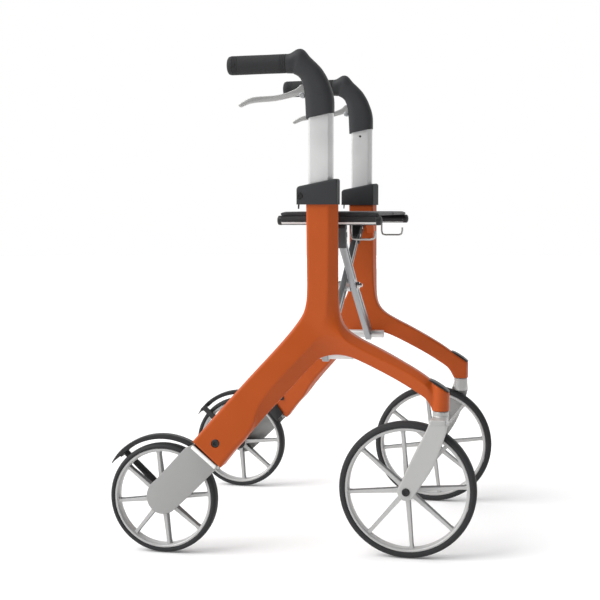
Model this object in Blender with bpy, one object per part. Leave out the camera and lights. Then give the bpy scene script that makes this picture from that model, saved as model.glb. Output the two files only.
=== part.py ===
"""Folding rollator walker: two side frames joined by a cross-folding linkage, four spoked wheels,
height-adjustable handles with brake levers, and a sling seat.

Metres, +Z up, +X forwards, the walker's right side at -Y."""

from math import atan2, cos, pi, radians, sin, sqrt, tan

import bmesh
import bpy
from mathutils import Vector

GAP = 0.0003  # between pieces that touch

# wheels
WHEEL_FACETS = 32
FRONT_R, FRONT_X, FRONT_Y = 0.1275, 0.2142, 0.2288
REAR_R, REAR_X, REAR_Y = 0.1033, -0.2376, 0.2828
TYRE_HALF = 0.0135
AXLE_R = 0.0050
SPOKES = 8

# side frame
FRAME_Y = 0.2335  # centre plane of the column
HALF = 0.020  # half the frame's thickness
HEAD_X, HEAD_Y, HEAD_R = 0.2738, 0.2265, 0.0158
HEAD_BOTTOM = 0.2735
STEM_R = 0.0060
COLUMN_TOP = 0.6780
SHOULDER = 0.6500  # the column is a little smaller above this, inside the collar
COLLAR_BOTTOM = 0.6510
LEG_END = (-0.1529, 0.1888)  # middle of the rear leg's lower end
LEG_SLOPE = radians(50.4)
BOLT_UP = 0.0291  # leg bolt above the leg's lower end
SPLAY = 0.160  # the rear leg moves out this much for each metre along it

# handles
TUBE_X0, TUBE_X1, TUBE_HALF_Y = 0.0320, 0.0735, 0.0135
TUBE_BOTTOM, TUBE_TOP = 0.6000, 0.8290
GRIP_R, GRIP_BACK, GRIP_FRONT = 0.0175, -0.1242, -0.0122
GRIP_Z, GRIP_RISE = 0.9075, radians(0.9)
LEVER_PIVOT = (0.0255, 0.8580)
LATCH_PIVOT = (0.0167, 0.6665)

# folding linkage
PIVOT_Y, PIVOT_Z = 0.1970, 0.3700
BAR_HALF_LENGTH = 0.2300
CROSS_Z = PIVOT_Z + sqrt(BAR_HALF_LENGTH**2 - PIVOT_Y**2)
PIVOT_TUBE_R = 0.0085
EYE_R = 0.0135
BAR_DEPTH, BAR_HALF_WIDTH = 0.0120, 0.0100
BAR_A_X, BAR_B_X = 0.0742, 0.0542  # the front bar rises to the right, the back bar to the left
RAIL_Y, RAIL_Z, RAIL_R = 0.1970, 0.6215, 0.0085
RAIL_BACK, RAIL_FRONT = -0.0385, 0.1600

# seat
PANEL_REACH = 0.1600
SEAT_BACK, SEAT_FRONT = -0.0300, 0.1500
SEAT_UNDER, SEAT_TOP = 0.0090, 0.0150  # heights over the rail's axis

RIGHT, LEFT = -1, 1
SIDES = (("right", RIGHT), ("left", LEFT))

COLOURS = {
    "orange": ((0.560, 0.110, 0.022), 0.38, 0.0),
    "dark_plastic": ((0.040, 0.041, 0.044), 0.55, 0.0),
    "grip_rubber": ((0.028, 0.028, 0.030), 0.80, 0.0),
    "aluminium": ((0.640, 0.640, 0.635), 0.35, 0.8),
    "satin_silver": ((0.420, 0.420, 0.415), 0.45, 0.7),
    "tyre": ((0.035, 0.036, 0.038), 0.85, 0.0),
    "steel": ((0.500, 0.500, 0.500), 0.30, 1.0),
    "fabric": ((0.020, 0.020, 0.022), 0.90, 0.0),
}


def material(name):
    made = bpy.data.materials.get(name)
    if made is None:
        colour, roughness, metallic = COLOURS[name]
        made = bpy.data.materials.new(name)
        made.use_nodes = True
        shader = made.node_tree.nodes["Principled BSDF"]
        shader.inputs["Base Color"].default_value = (*colour, 1.0)
        shader.inputs["Roughness"].default_value = roughness
        shader.inputs["Metallic"].default_value = metallic
    return made


def mesh_of(points, faces):
    """A closed mesh from corners and faces, turned to face out."""
    bm = bmesh.new()
    corners = [bm.verts.new(p) for p in points]
    for face in faces:
        bm.faces.new([corners[i] for i in face])
    bmesh.ops.triangulate(bm, faces=[f for f in bm.faces if len(f.verts) > 4])
    bmesh.ops.recalc_face_normals(bm, faces=bm.faces)
    if bm.calc_volume(signed=True) < 0:
        bmesh.ops.reverse_faces(bm, faces=bm.faces)
    mesh = bpy.data.meshes.new("shape")
    bm.to_mesh(mesh)
    bm.free()
    return mesh


def loft(rings):
    """Rings of equal length joined in turn and closed at both ends."""
    count = len(rings[0])
    points = [p for ring in rings for p in ring]
    faces = [list(range(count)), list(range(len(points) - count, len(points)))]
    for row in range(len(rings) - 1):
        for i in range(count):
            j = (i + 1) % count
            here, above = row * count, (row + 1) * count
            faces.append([here + i, here + j, above + j, above + i])
    return mesh_of(points, faces)


def prism_y(outline, y0, y1):
    """An outline of (x, z) corners pushed along Y."""
    return loft([[(x, y, z) for x, z in outline] for y in (y0, y1)])


def prism_x(outline, x0, x1):
    """An outline of (y, z) corners pushed along X."""
    return loft([[(x, y, z) for y, z in outline] for x in (x0, x1)])


def box(low, high):
    outline = [(low[0], low[2]), (high[0], low[2]), (high[0], high[2]), (low[0], high[2])]
    return prism_y(outline, low[1], high[1])


def circle(x, y, r, count, turn=0.0):
    angles = [turn + 2 * pi * i / count for i in range(count)]
    return [(x + r * cos(a), y + r * sin(a)) for a in angles]


def lathe(profile, along, centre, count, turn=0.0):
    """A solid of revolution: profile rows are (distance along the axis, radius), with both ends closed."""
    rings = []
    for step, r in profile:
        ring = circle(0, 0, r, count, turn)
        if along == "y":
            rings.append([(centre[0] + a, centre[1] + step, centre[2] + b) for a, b in ring])
        elif along == "x":
            rings.append([(centre[0] + step, centre[1] + a, centre[2] + b) for a, b in ring])
        else:
            rings.append([(centre[0] + a, centre[1] + b, centre[2] + step) for a, b in ring])
    return loft(rings)


def hoop(profile, centre, count, turn=0.0):
    """A closed profile of (distance along Y, radius) corners turned about Y."""
    rings = [
        [(centre[0] + r * cos(a), centre[1] + step, centre[2] + r * sin(a)) for step, r in profile]
        for a in (turn + 2 * pi * i / count for i in range(count))
    ]
    size = len(profile)
    points = [p for ring in rings for p in ring]
    faces = []
    for row in range(count):
        after = (row + 1) % count
        for i in range(size):
            j = (i + 1) % size
            faces.append([row * size + i, row * size + j, after * size + j, after * size + i])
    return mesh_of(points, faces)


def wire(points, r, count):
    """A round rod along a bent line, mitred at its corners, for lines that lie in one XZ plane."""
    rings = []
    for i, p in enumerate(points):
        here = Vector(p)
        before = (here - Vector(points[i - 1])).normalized() if i else None
        after = (Vector(points[i + 1]) - here).normalized() if i + 1 < len(points) else None
        ahead = ((before or after) + (after or before)).normalized()
        stretch = 1.0 / max(0.5, ahead.dot(before or after))
        across = Vector((ahead.z, 0, -ahead.x)) * stretch
        section = circle(0, 0, r, count)
        rings.append([tuple(here + across * a + Vector((0, b, 0))) for a, b in section])
    return loft(rings)


def join(first, second, how):
    """One mesh from two, by an exact Boolean."""
    base = bpy.data.objects.new("base", first)
    other = bpy.data.objects.new("other", second)
    for obj in (base, other):
        bpy.context.scene.collection.objects.link(obj)
    step = base.modifiers.new("step", "BOOLEAN")
    step.operation, step.solver, step.object = how, "EXACT", other
    bpy.context.view_layer.update()
    mesh = bpy.data.meshes.new_from_object(base.evaluated_get(bpy.context.evaluated_depsgraph_get()))
    for obj in (base, other):
        bpy.data.objects.remove(obj)
    return mesh


def union(*meshes):
    made = meshes[0]
    for mesh in meshes[1:]:
        made = join(made, mesh, "UNION")
    return made


def cut(mesh, *tools):
    for tool in tools:
        mesh = join(mesh, tool, "DIFFERENCE")
    return mesh


def place(name, mesh, paint, side=LEFT, pivot=(0.0, 0.0, 0.0), smooth=False):
    """A named node. Shapes are drawn on the left (+Y) and mirrored for the right. pivot becomes its origin."""
    bm = bmesh.new()
    bm.from_mesh(mesh)
    if side == RIGHT:
        for corner in bm.verts:
            corner.co.y = -corner.co.y
        bmesh.ops.reverse_faces(bm, faces=bm.faces)
    bmesh.ops.remove_doubles(bm, verts=bm.verts, dist=1e-6)
    bmesh.ops.dissolve_limit(bm, angle_limit=radians(0.3), verts=bm.verts, edges=bm.edges)
    bmesh.ops.triangulate(bm, faces=bm.faces)
    origin = Vector((pivot[0], side * pivot[1], pivot[2]))
    bmesh.ops.translate(bm, vec=-origin, verts=bm.verts)
    done = bpy.data.meshes.new(name)
    bm.to_mesh(done)
    bm.free()
    done.materials.clear()
    done.materials.append(material(paint))
    obj = bpy.data.objects.new(name, done)
    obj.location = origin
    bpy.context.scene.collection.objects.link(obj)
    if smooth:
        done.shade_smooth()
        done.set_sharp_from_angle(angle=radians(35))
    return obj


# ---------------------------------------------------------------- side frame


def leg_point(up, across):
    """A point on the rear leg: up it from its lower end, and across it to its upper edge."""
    u, n = (cos(LEG_SLOPE), sin(LEG_SLOPE)), (-sin(LEG_SLOPE), cos(LEG_SLOPE))
    return LEG_END[0] + up * u[0] + across * n[0], LEG_END[1] + up * u[1] + across * n[1]


def middle_y(x, z):
    """The frame's centre plane: straight at the column, out along the rear leg, in along the front leg."""
    along = (x - 0.0167) * -0.686 + (z - 0.4423) * -0.727
    inward = max(0.0, x - 0.100) / (HEAD_X - 0.100) * (FRAME_Y - HEAD_Y)
    return FRAME_Y + SPLAY * max(0.0, along) - inward


def half_at(x):
    """Half the frame's thickness, which thins towards the caster head."""
    return HALF - 0.0045 * min(1.0, max(0.0, (x - 0.090) / 0.120))


# silhouette: x, z and how far out of the centre plane its outer edge lies
EDGE = [
    (0.0297, SHOULDER, 0.0165), (0.0297, 0.5000, 0.0165), (0.0288, 0.4760, 0.0165), (0.0238, 0.4539, 0.0165),
    (0.0167, 0.4423, 0.0165), (-0.0012, 0.4165, 0.0165), (-0.0369, 0.3752, 0.0165), (-0.0905, 0.3147, 0.0165),
    (-0.1758, 0.2116, 0.0165), (-0.1262, 0.1670, 0.0165), (-0.0977, 0.2035, 0.0165), (-0.0820, 0.2160, 0.0150),
    (-0.0650, 0.2375, 0.0060), (-0.0445, 0.2627, 0.0030), (-0.0132, 0.2967, 0.0030), (0.0416, 0.3606, 0.0040),
    (0.0550, 0.3705, 0.0050), (0.0811, 0.3762, 0.0070), (0.1050, 0.3725, 0.0100), (0.1238, 0.3655, 0.0125),
    (0.1620, 0.3474, 0.0130), (0.1988, 0.3284, 0.0130), (0.2355, 0.3046, 0.0130), (0.2500, 0.2915, 0.0110),
    (0.2600, HEAD_BOTTOM, 0.0060), (0.2880, HEAD_BOTTOM, 0.0040), (0.2880, 0.3106, 0.0040),
    (0.2545, 0.3310, 0.0040), (0.2368, 0.3449, 0.0040), (0.2004, 0.3658, 0.0040), (0.1565, 0.3894, 0.0040),
    (0.1124, 0.4098, 0.0040), (0.0951, 0.4254, 0.0040), (0.0873, 0.4429, 0.0040), (0.0852, 0.4768, 0.0040),
    (0.0852, SHOULDER, 0.0040),
]
# the creases of the outer face, and the ridge along the front leg
CREASE = [
    (0.0325, SHOULDER), (0.0325, 0.5000), (0.0318, 0.4745), (0.0270, 0.4525), (0.0200, 0.4400), (0.0022, 0.4145),
    (-0.0340, 0.3730), (-0.0875, 0.3125), (-0.1728, 0.2109), (-0.1275, 0.1705), (-0.0985, 0.2070),
    (-0.0790, 0.2230), (-0.0614, 0.2481), (-0.0597, 0.2873), (0.0000, 0.3511), (0.0536, 0.4075),
    (0.0598, 0.4308), (0.0653, 0.4768), (0.0652, SHOULDER),
]
RIDGE = [(0.0880, 0.4200), (0.1000, 0.4020), (0.1250, 0.3890), (0.1620, 0.3698), (0.1995, 0.3540),
         (0.2350, 0.3330), (0.2600, 0.3150)]


def frame_shell():
    e, c, r = len(EDGE), len(CREASE), len(RIDGE)
    points = [(x, middle_y(x, z) + d, z) for x, z, d in EDGE]
    points += [(x, middle_y(x, z) + HALF, z) for x, z in CREASE]
    points += [(x, middle_y(x, z) + half_at(x), z) for x, z in RIDGE]
    points += [(x, middle_y(x, z) - half_at(x), z) for x, z, _ in EDGE]
    C, R, I = e, e + c, e + c + r
    faces = [
        [C + i for i in (0, 1, 2, 3, 4, 15, 16, 17, 18)],
        [C + i for i in range(4, 16)],
        [I + i for i in (0, 1, 2, 3, 4, 16, 17, 18, 31, 32, 33, 34, 35)],
        [I + i for i in range(4, 17)],
        [I + i for i in range(18, 32)],
        [35, C + 18, C + 17, 34],
        [34, C + 17, C + 16, R, 33],
        [C + 16, C + 15, R + 1, R],
        [C + 15, 15, 16, 17, R + 1],
        [R + 1, 17, 18, 19, R + 2],
        [R + 2, 19, 20, R + 3],
        [R + 3, 20, 21, R + 4],
        [R + 4, 21, 22, R + 5],
        [R + 5, 22, 23, R + 6],
        [R + 6, 23, 24, 25, 26, 27],
        [35, 0, C, C + 18],
    ]
    faces += [[i, i + 1, C + i + 1, C + i] for i in range(15)]
    faces += [[33 - k, 32 - k, R + k + 1, R + k] for k in range(6)]
    faces += [[i, (i + 1) % e, I + (i + 1) % e, I + i] for i in range(e)]
    return mesh_of(points, faces)


def column_section(grow, z0, z1):
    """The column across, as a block between two heights."""
    outline = ((0.0297, -0.0200), (0.0852, -0.0200), (0.0852, 0.0041), (0.0653, 0.0200), (0.0323, 0.0200),
               (0.0297, 0.0166))
    grown = [(x + (grow if x > 0.050 else -grow), FRAME_Y + y + (grow if y > 0 else -grow))
             for x, y in outline]
    return loft([[(x, y, z) for x, y in grown] for z in (z0, z1)])


def column_neck():
    """The column's top inside the collar, a little smaller, so that its faces end under the collar."""
    return column_section(-0.0004, SHOULDER - 0.0100, COLUMN_TOP)


def caster_head():
    """The round end of the front leg, its top cut on a slope."""
    low = [(x, y, HEAD_BOTTOM) for x, y in circle(HEAD_X, HEAD_Y, HEAD_R, 20)]
    high = [(x, y, 0.3306 - 0.609 * (x - 0.2545)) for x, y in circle(HEAD_X, HEAD_Y, HEAD_R, 20)]
    return loft([low, high])


def tube_section(grow=0.0):
    """The handle tube across: a flat oval with wide front corners, as (x, y) corners."""
    x0, x1, w = TUBE_X0 - grow, TUBE_X1 + grow, TUBE_HALF_Y + grow
    half = [(x1, 0.0050), (x1 - 0.0070, w), (x0 + 0.0060, w), (x0 + 0.0016, w - 0.0036), (x0, w - 0.0090)]
    return half + [(x, -y) for x, y in reversed(half)]


def tube_block(z0, z1, grow=0.0):
    return loft([[(x, FRAME_Y + y, z) for x, y in tube_section(grow)] for z in (z0, z1)])


def leg_block(low, high, width, y0, y1, grow=0.0):
    """A block on the rear leg's axis, between two heights up it."""
    w = width / 2 + grow
    ends = ((low - grow, -w), (high + grow, -w), (high + grow, w), (low - grow, w))
    outline = [leg_point(up, across) for up, across in ends]
    return prism_y(outline, y0 - grow, y1 + grow)


BOLT_XZ = leg_point(BOLT_UP, 0.0)
END_Y = middle_y(*LEG_END)
BOLT_Y = middle_y(*BOLT_XZ)
TONGUE = (-0.004, 0.040, 0.030, END_Y - 0.0095, END_Y + 0.0075)


def side_frame():
    shell = union(frame_shell(), column_neck(), caster_head())
    tongue = leg_block(-0.020, TONGUE[1], TONGUE[2], TONGUE[3], TONGUE[4], 0.0004)
    bolt = lathe([(-0.040, 0.0034), (0.040, 0.0034)], "y", (BOLT_XZ[0], BOLT_Y, BOLT_XZ[1]), 12)
    head = lathe([(HALF - 0.0030, 0.0079), (0.040, 0.0079)], "y", (BOLT_XZ[0], BOLT_Y, BOLT_XZ[1]), 16)
    stem = lathe([(-0.010, STEM_R + 0.0003), (0.0300, STEM_R + 0.0003)], "z",
                 (HEAD_X, HEAD_Y, HEAD_BOTTOM), 16)
    return cut(shell, tube_block(0.4700, 0.7200, 0.0004), tongue, bolt, head, stem)


# ---------------------------------------------------------------- wheels and running gear


def tyre(x, y, r):
    """A tyre with a flat facet on the floor."""
    wide = r / cos(pi / WHEEL_FACETS)
    deep = 0.0115 if r > 0.11 else 0.0090
    profile = [
        (-0.0110, wide - deep), (-TYRE_HALF, wide - deep * 0.62), (-0.0100, wide - deep * 0.17), (-0.0040, wide),
        (0.0040, wide), (0.0100, wide - deep * 0.17), (TYRE_HALF, wide - deep * 0.62), (0.0110, wide - deep),
    ]
    return hoop(profile, (x, y, r), WHEEL_FACETS, pi / 2 + pi / WHEEL_FACETS)


def rim(x, y, r, hub_r, hub_half):
    """Ring, hub and spokes in one piece, bored for the axle."""
    wide = r / cos(pi / WHEEL_FACETS)
    deep = 0.0115 if r > 0.11 else 0.0090
    outer = wide - deep - GAP
    ring = hoop([(-0.0115, outer), (0.0115, outer), (0.0115, outer - 0.0060), (-0.0115, outer - 0.0060)],
                (x, y, r), WHEEL_FACETS, pi / 2 + pi / WHEEL_FACETS)
    hub = lathe([(-hub_half, hub_r), (hub_half, hub_r)], "y", (x, y, r), 16, pi / 16)
    parts = [ring, hub]
    for i in range(SPOKES):
        a = pi / 2 + 2 * pi * i / SPOKES
        u, n = (cos(a), sin(a)), (-sin(a), cos(a))
        rings = []
        stations = ((hub_r - 0.004, 0.0029, 0.0085), (outer - 0.0030, 0.0022, 0.0070))
        for reach, wide_half, deep_half in stations:
            rings.append([
                (x + reach * u[0] + s * wide_half * n[0], y + t * deep_half,
                 r + reach * u[1] + s * wide_half * n[1])
                for s, t in ((-1, -1), (1, -1), (1, 1), (-1, 1))
            ])
        parts.append(loft(rings))
    bore = lathe([(-0.030, AXLE_R + 0.0003), (0.030, AXLE_R + 0.0003)], "y", (x, y, r), 16)
    return cut(union(*parts), bore)


BRACKET = [
    (-0.1895, 0.2028), (-0.2051, 0.1865), (-0.2438, 0.1444), (-0.2596, 0.1285), (-0.2656, 0.1150),
    (-0.2663, 0.1040), (-0.2628, 0.0920), (-0.2550, 0.0820), (-0.2450, 0.0765), (-0.2340, 0.0750),
    (-0.2225, 0.0780), (-0.2130, 0.0845), (-0.1832, 0.1125), (-0.1502, 0.1455), (-0.1310, 0.1650),
]
PLATE_Y0, PLATE_Y1 = 0.2980, 0.3020


def rear_bracket():
    """Plate outside the wheel, a flange under the leg's end and a tongue up inside it."""
    end = [leg_point(-GAP, w) for w in (0.0300, -0.0300)]
    plate = prism_y(BRACKET + [end[1], end[0]], PLATE_Y0, PLATE_Y1)
    flange = leg_block(-0.0072, -GAP, 0.0600, END_Y - 0.0185, PLATE_Y1 - 0.0004)
    tongue = leg_block(TONGUE[0], TONGUE[1], TONGUE[2], TONGUE[3], TONGUE[4])
    axle = lathe([(-0.030, AXLE_R + 0.0003), (0.0032, AXLE_R + 0.0003)], "y", (REAR_X, PLATE_Y0, REAR_R), 16)
    bolt = lathe([(-0.030, 0.0034), (0.030, 0.0034)], "y", (BOLT_XZ[0], BOLT_Y, BOLT_XZ[1]), 12)
    return cut(union(plate, flange, tongue), axle, bolt)


def bracket_bolt():
    profile = [(-HALF - 0.0036, 0.0048), (-HALF - 0.0012, 0.0048), (-HALF - 0.0012, 0.0030),
               (HALF - 0.0026, 0.0030), (HALF - 0.0026, 0.0075), (HALF + 0.0004, 0.0075)]
    return lathe(profile, "y", (BOLT_XZ[0], BOLT_Y, BOLT_XZ[1]), 16)


def about_rear(r, angle):
    return REAR_X + r * cos(radians(angle)), REAR_R + r * sin(radians(angle))


def kerb_climber():
    """Curved bar over the rear wheel, with a pointed tail, and a strut down the wheel's inner side."""
    outer = [about_rear(0.1205, a) for a in range(69, 146, 8)] + [about_rear(0.1207, 149.5)]
    inner = [about_rear(0.1135, a) for a in range(141, 68, -8)]
    arc = prism_y(outer + inner, REAR_Y - 0.0090, REAR_Y + 0.0090)
    corners = ((0.1125, 132), (0.1200, 132), (0.1200, 141), (0.1125, 141))
    lug = prism_y([about_rear(r, a) for r, a in corners], REAR_Y - 0.0225, REAR_Y - 0.0050)
    u = (cos(radians(136.5)), sin(radians(136.5)))
    n = (-u[1], u[0])
    strut = prism_y([(REAR_X + a * u[0] + w * n[0], REAR_R + a * u[1] + w * n[1])
                     for a, w in ((0.0, -0.0060), (0.1190, -0.0050), (0.1190, 0.0050), (0.0, 0.0060))],
                    REAR_Y - 0.0228, REAR_Y - 0.0182)
    disc = lathe([(-0.0228, 0.0140), (-0.0182, 0.0140)], "y", (REAR_X, REAR_Y, REAR_R), 20)
    hole = lathe([(-0.040, AXLE_R + 0.0003), (0.0, AXLE_R + 0.0003)], "y", (REAR_X, REAR_Y, REAR_R), 16)
    return cut(union(arc, lug, strut, disc), hole)


def rear_axle():
    y = REAR_Y
    profile = [(-0.0262, 0.0085), (-0.0231, 0.0085), (-0.0231, AXLE_R), (PLATE_Y0 + 0.0028 - y, AXLE_R)]
    return lathe(profile, "y", (REAR_X, y, REAR_R), 16)


def brake_shoe():
    """Pad over the tyre, under the flange, with a carrier on the leg's inner side."""
    outer = [about_rear(0.1120, a) for a in range(30, 53, 4)]
    inner = [about_rear(0.1056, a) for a in range(50, 29, -4)]
    pad = prism_y(outer + inner, END_Y - 0.0262, REAR_Y + 0.0120)
    low0, low1 = about_rear(0.1056, 31), about_rear(0.1056, 50)
    up = (cos(LEG_SLOPE), sin(LEG_SLOPE))
    high1 = (low1[0] + 0.0260 * up[0], low1[1] + 0.0260 * up[1])
    high0 = (low0[0] + 0.0240 * up[0], low0[1] + 0.0240 * up[1])
    carrier = prism_y([low0, high0, high1, low1], END_Y - 0.0262, END_Y - 0.0222)
    return union(pad, carrier)


FORK = [
    (0.2540, 0.2540), (0.2540, 0.2502), (0.2412, 0.2125), (0.2229, 0.1795), (0.2062, 0.1420), (0.1993, 0.1316),
    (0.1990, 0.1240), (0.2020, 0.1175), (0.2075, 0.1130), (0.2142, 0.1118), (0.2215, 0.1135), (0.2270, 0.1180),
    (0.2300, 0.1250), (0.2363, 0.1368), (0.2600, 0.1736), (0.2781, 0.2140), (0.2870, 0.2421), (0.2872, 0.2540),
]
FORK_Y0, FORK_Y1 = 0.2456, 0.2556


def caster_fork():
    """Swivel stem and neck, a shoulder out over the tyre, and one arm down the wheel's outer side."""
    stem = lathe([(-0.0100, STEM_R), (0.0270, STEM_R)], "z", (HEAD_X, HEAD_Y, HEAD_BOTTOM), 16)
    neck = lathe([(-0.0215, 0.0146), (-0.0006, 0.0146)], "z", (HEAD_X, HEAD_Y, HEAD_BOTTOM), 20)
    arm = prism_y(FORK, FORK_Y0, FORK_Y1)
    shoulder = loft([
        [(0.2600, HEAD_Y - 0.0060, 0.2525), (0.2870, HEAD_Y - 0.0060, 0.2525),
         (0.2870, HEAD_Y - 0.0060, 0.2650), (0.2600, HEAD_Y - 0.0060, 0.2650)],
        [(0.2545, FORK_Y1 - 0.0010, 0.2510), (0.2868, FORK_Y1 - 0.0010, 0.2510),
         (0.2860, FORK_Y1 - 0.0010, 0.2610), (0.2560, FORK_Y1 - 0.0010, 0.2610)],
    ])
    hole = lathe([(-0.030, AXLE_R + 0.0003), (0.030, AXLE_R + 0.0003)], "y", (FRONT_X, FORK_Y0, FRONT_R), 16)
    return cut(union(stem, neck, shoulder, arm), hole)


def front_axle():
    profile = [(-0.0180, 0.0090), (-0.0154, 0.0090), (-0.0154, AXLE_R), (FORK_Y1 + 0.0003 - FRONT_Y, AXLE_R),
               (FORK_Y1 + 0.0003 - FRONT_Y, 0.0075), (FORK_Y1 + 0.0028 - FRONT_Y, 0.0068)]
    return lathe(profile, "y", (FRONT_X, FRONT_Y, FRONT_R), 16)


def caster_cap():
    def top(x, lift):
        return x, 0.3310 - 0.609 * (x - 0.2545) + lift

    outline = [top(0.2535, 0.0006), top(0.2535, 0.0034), top(0.2620, 0.0040), top(0.2800, 0.0040),
               top(0.2890, 0.0030), top(0.2890, 0.0006)]
    return prism_y(outline, HEAD_Y - 0.0125, HEAD_Y + 0.0125)


# ---------------------------------------------------------------- handles


def column_collar():
    outline = [(0.0101, COLLAR_BOTTOM), (0.0101, 0.6835), (0.0860, 0.6962), (0.0887, 0.6935),
               (0.0887, COLLAR_BOTTOM)]
    body = prism_y(outline, FRAME_Y - 0.0230, FRAME_Y + 0.0235)
    column = column_section(0.0003, 0.6400, COLUMN_TOP + GAP)
    pin = lathe([(-0.0190, 0.0054), (0.0400, 0.0054)], "y", (LATCH_PIVOT[0], FRAME_Y, LATCH_PIVOT[1]), 16)
    pocket = box((0.0050, FRAME_Y - 0.0105, 0.6400), (0.0205, FRAME_Y + 0.0105, LATCH_PIVOT[1] + 0.0005))
    return cut(body, column, tube_block(0.6600, 0.7200, 0.0004), pin, pocket)


def height_latch():
    x, z = LATCH_PIVOT
    pin = lathe([(-0.0186, 0.0050), (0.0245, 0.0050)], "y", (x, FRAME_Y, z), 16)
    blade = prism_y([(x - 0.0047, z + 0.0001), (x - 0.0047, 0.6430), (x - 0.0020, 0.6430),
                     (x - 0.0005, 0.6540), (x + 0.0020, z - 0.0020), (x, z + 0.0001)],
                    FRAME_Y - 0.0100, FRAME_Y + 0.0100)
    return union(pin, blade)


# outer and inner edge of the neck in side view, and its half width, from the tube up and back to the grip
NECK = [
    (0.0758, 0.8171, 0.0244, 0.8071, 0.0180), (0.0757, 0.8407, 0.0222, 0.8380, 0.0182),
    (0.0695, 0.8605, 0.0192, 0.8575, 0.0182), (0.0600, 0.8800, 0.0160, 0.8700, 0.0180),
    (0.0490, 0.9005, 0.0130, 0.8800, 0.0176), (0.0320, 0.9155, 0.0080, 0.8860, 0.0174),
    (0.0200, 0.9292, 0.0030, 0.8885, 0.0172), (0.0115, 0.9344, 0.0000, 0.8895, 0.0168),
    (0.0030, 0.9305, -0.0040, 0.8900, 0.0170), (-0.0119, 0.9262, -0.0119, 0.8906, 0.0174),
]


def grip_z(x):
    return GRIP_Z + tan(GRIP_RISE) * (x - (GRIP_BACK + GRIP_FRONT) / 2)


def round_bar(r, x0, x1):
    """A round bar on the grip's axis."""
    return loft([[(x, FRAME_Y + a, grip_z(x) + b) for a, b in circle(0, 0, r, 12)] for x in (x0, x1)])


def handle_neck():
    rings = []
    for ox, oz, ix, iz, w in NECK:
        cx, cz, hx, hz = (ox + ix) / 2, (oz + iz) / 2, (ox - ix) / 2, (oz - iz) / 2
        ring = []
        for i in range(12):
            a = 2 * pi * (i + 0.5) / 12
            c, s = cos(a), sin(a)
            full = 1.03 if abs(c) > 0.9 else 1.10
            ring.append((cx + hx * c * full, FRAME_Y + w * s * full, cz + hz * c * full))
        rings.append(ring)
    body = loft(rings)
    spigot = round_bar(0.0108, -0.0520, 0.0040)
    x, z = LEVER_PIVOT
    slot = prism_y([(-0.010, 0.8380), (x + 0.0040, 0.8480),
                    (x + 0.0090, z - 0.0050), (x + 0.0090, z + 0.0050),
                    (x + 0.0010, 0.8800), (-0.010, 0.8830)], FRAME_Y - 0.0068, FRAME_Y + 0.0068)
    pin = lathe([(-0.030, 0.0029), (0.030, 0.0029)], "y", (x, FRAME_Y, z), 12)
    return cut(union(body, spigot), tube_block(0.7900, TUBE_TOP + 0.0004, 0.0004), slot, pin)


def grip():
    steps = [(GRIP_BACK, 0.0110), (GRIP_BACK + 0.0022, 0.0150), (GRIP_BACK + 0.0070, GRIP_R),
             (GRIP_FRONT, GRIP_R)]
    body = loft([[(x, FRAME_Y + a, grip_z(x) + b) for a, b in circle(0, 0, r, 20)] for x, r in steps])
    return cut(body, round_bar(0.0112, -0.0525, 0.0100))


def brake_lever():
    x, z = LEVER_PIVOT
    outline = [
        (-0.1036, 0.8335), (-0.0960, 0.8395), (-0.0830, 0.8460), (-0.0693, 0.8488), (-0.0372, 0.8502),
        (-0.0157, 0.8540), (0.0059, 0.8619), (0.0150, 0.8700), (0.0205, 0.8690), (x + 0.0030, z + 0.0065),
        (x + 0.0068, z + 0.0025), (x + 0.0068, z - 0.0025), (x + 0.0030, z - 0.0065), (0.0215, 0.8490),
        (0.0165, 0.8470), (0.0110, 0.8525), (-0.0120, 0.8477), (-0.0372, 0.8433), (-0.0706, 0.8411),
        (-0.0850, 0.8385), (-0.1010, 0.8310),
    ]
    blade = prism_y(outline, FRAME_Y - 0.0062, FRAME_Y + 0.0062)
    return cut(blade, lathe([(-0.020, 0.0029), (0.020, 0.0029)], "y", (x, FRAME_Y, z), 12))


def lever_pin():
    return lathe([(-0.0160, 0.0026), (0.0160, 0.0026)], "y", (LEVER_PIVOT[0], FRAME_Y, LEVER_PIVOT[1]), 12)


# ---------------------------------------------------------------- folding linkage


def pivot_tube():
    """Fore-and-aft tube under the frame's arch, on two feet against its inner face."""
    tube = lathe([(0.0300, PIVOT_TUBE_R), (0.1075, PIVOT_TUBE_R)], "x", (0.0, PIVOT_Y, PIVOT_Z), 16, pi / 16)
    feet = [box((x, PIVOT_Y - 0.0010, PIVOT_Z - 0.0070), (x + 0.0060, FRAME_Y - HALF - GAP, PIVOT_Z + 0.0260))
            for x in (0.0310, 0.1000)]
    return union(tube, *feet)


def along_line(angle, reach, width):
    return reach * cos(angle) - width * sin(angle), CROSS_Z + reach * sin(angle) + width * cos(angle)


def along_bar(reach, width=0.0):
    """A point on a bar that rises to the left (+Y), in (y, z), measured from the crossing."""
    return along_line(atan2(CROSS_Z - PIVOT_Z, PIVOT_Y), reach, width)


def toward_rail(reach, width=0.0):
    """A point on the bar's upper half, which runs from the crossing towards its rail."""
    return along_line(atan2(RAIL_Z - CROSS_Z, RAIL_Y), reach, width)


RAIL_REACH = sqrt(RAIL_Y**2 + (RAIL_Z - CROSS_Z) ** 2)


def bar_outline(width, top):
    """The bar from its lower eye, past the crossing, to just under its rail."""
    start = atan2(PIVOT_Z - CROSS_Z, -PIVOT_Y)
    eye = [(-PIVOT_Y + EYE_R * cos(start + radians(a)), PIVOT_Z + EYE_R * sin(start + radians(a)))
           for a in range(-100, 101, 25)]
    return eye + [along_bar(-0.0020, -width), toward_rail(0.0020, -width), toward_rail(top, -width),
                  toward_rail(top, width), toward_rail(0.0020, width), along_bar(-0.0020, width)]


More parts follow.
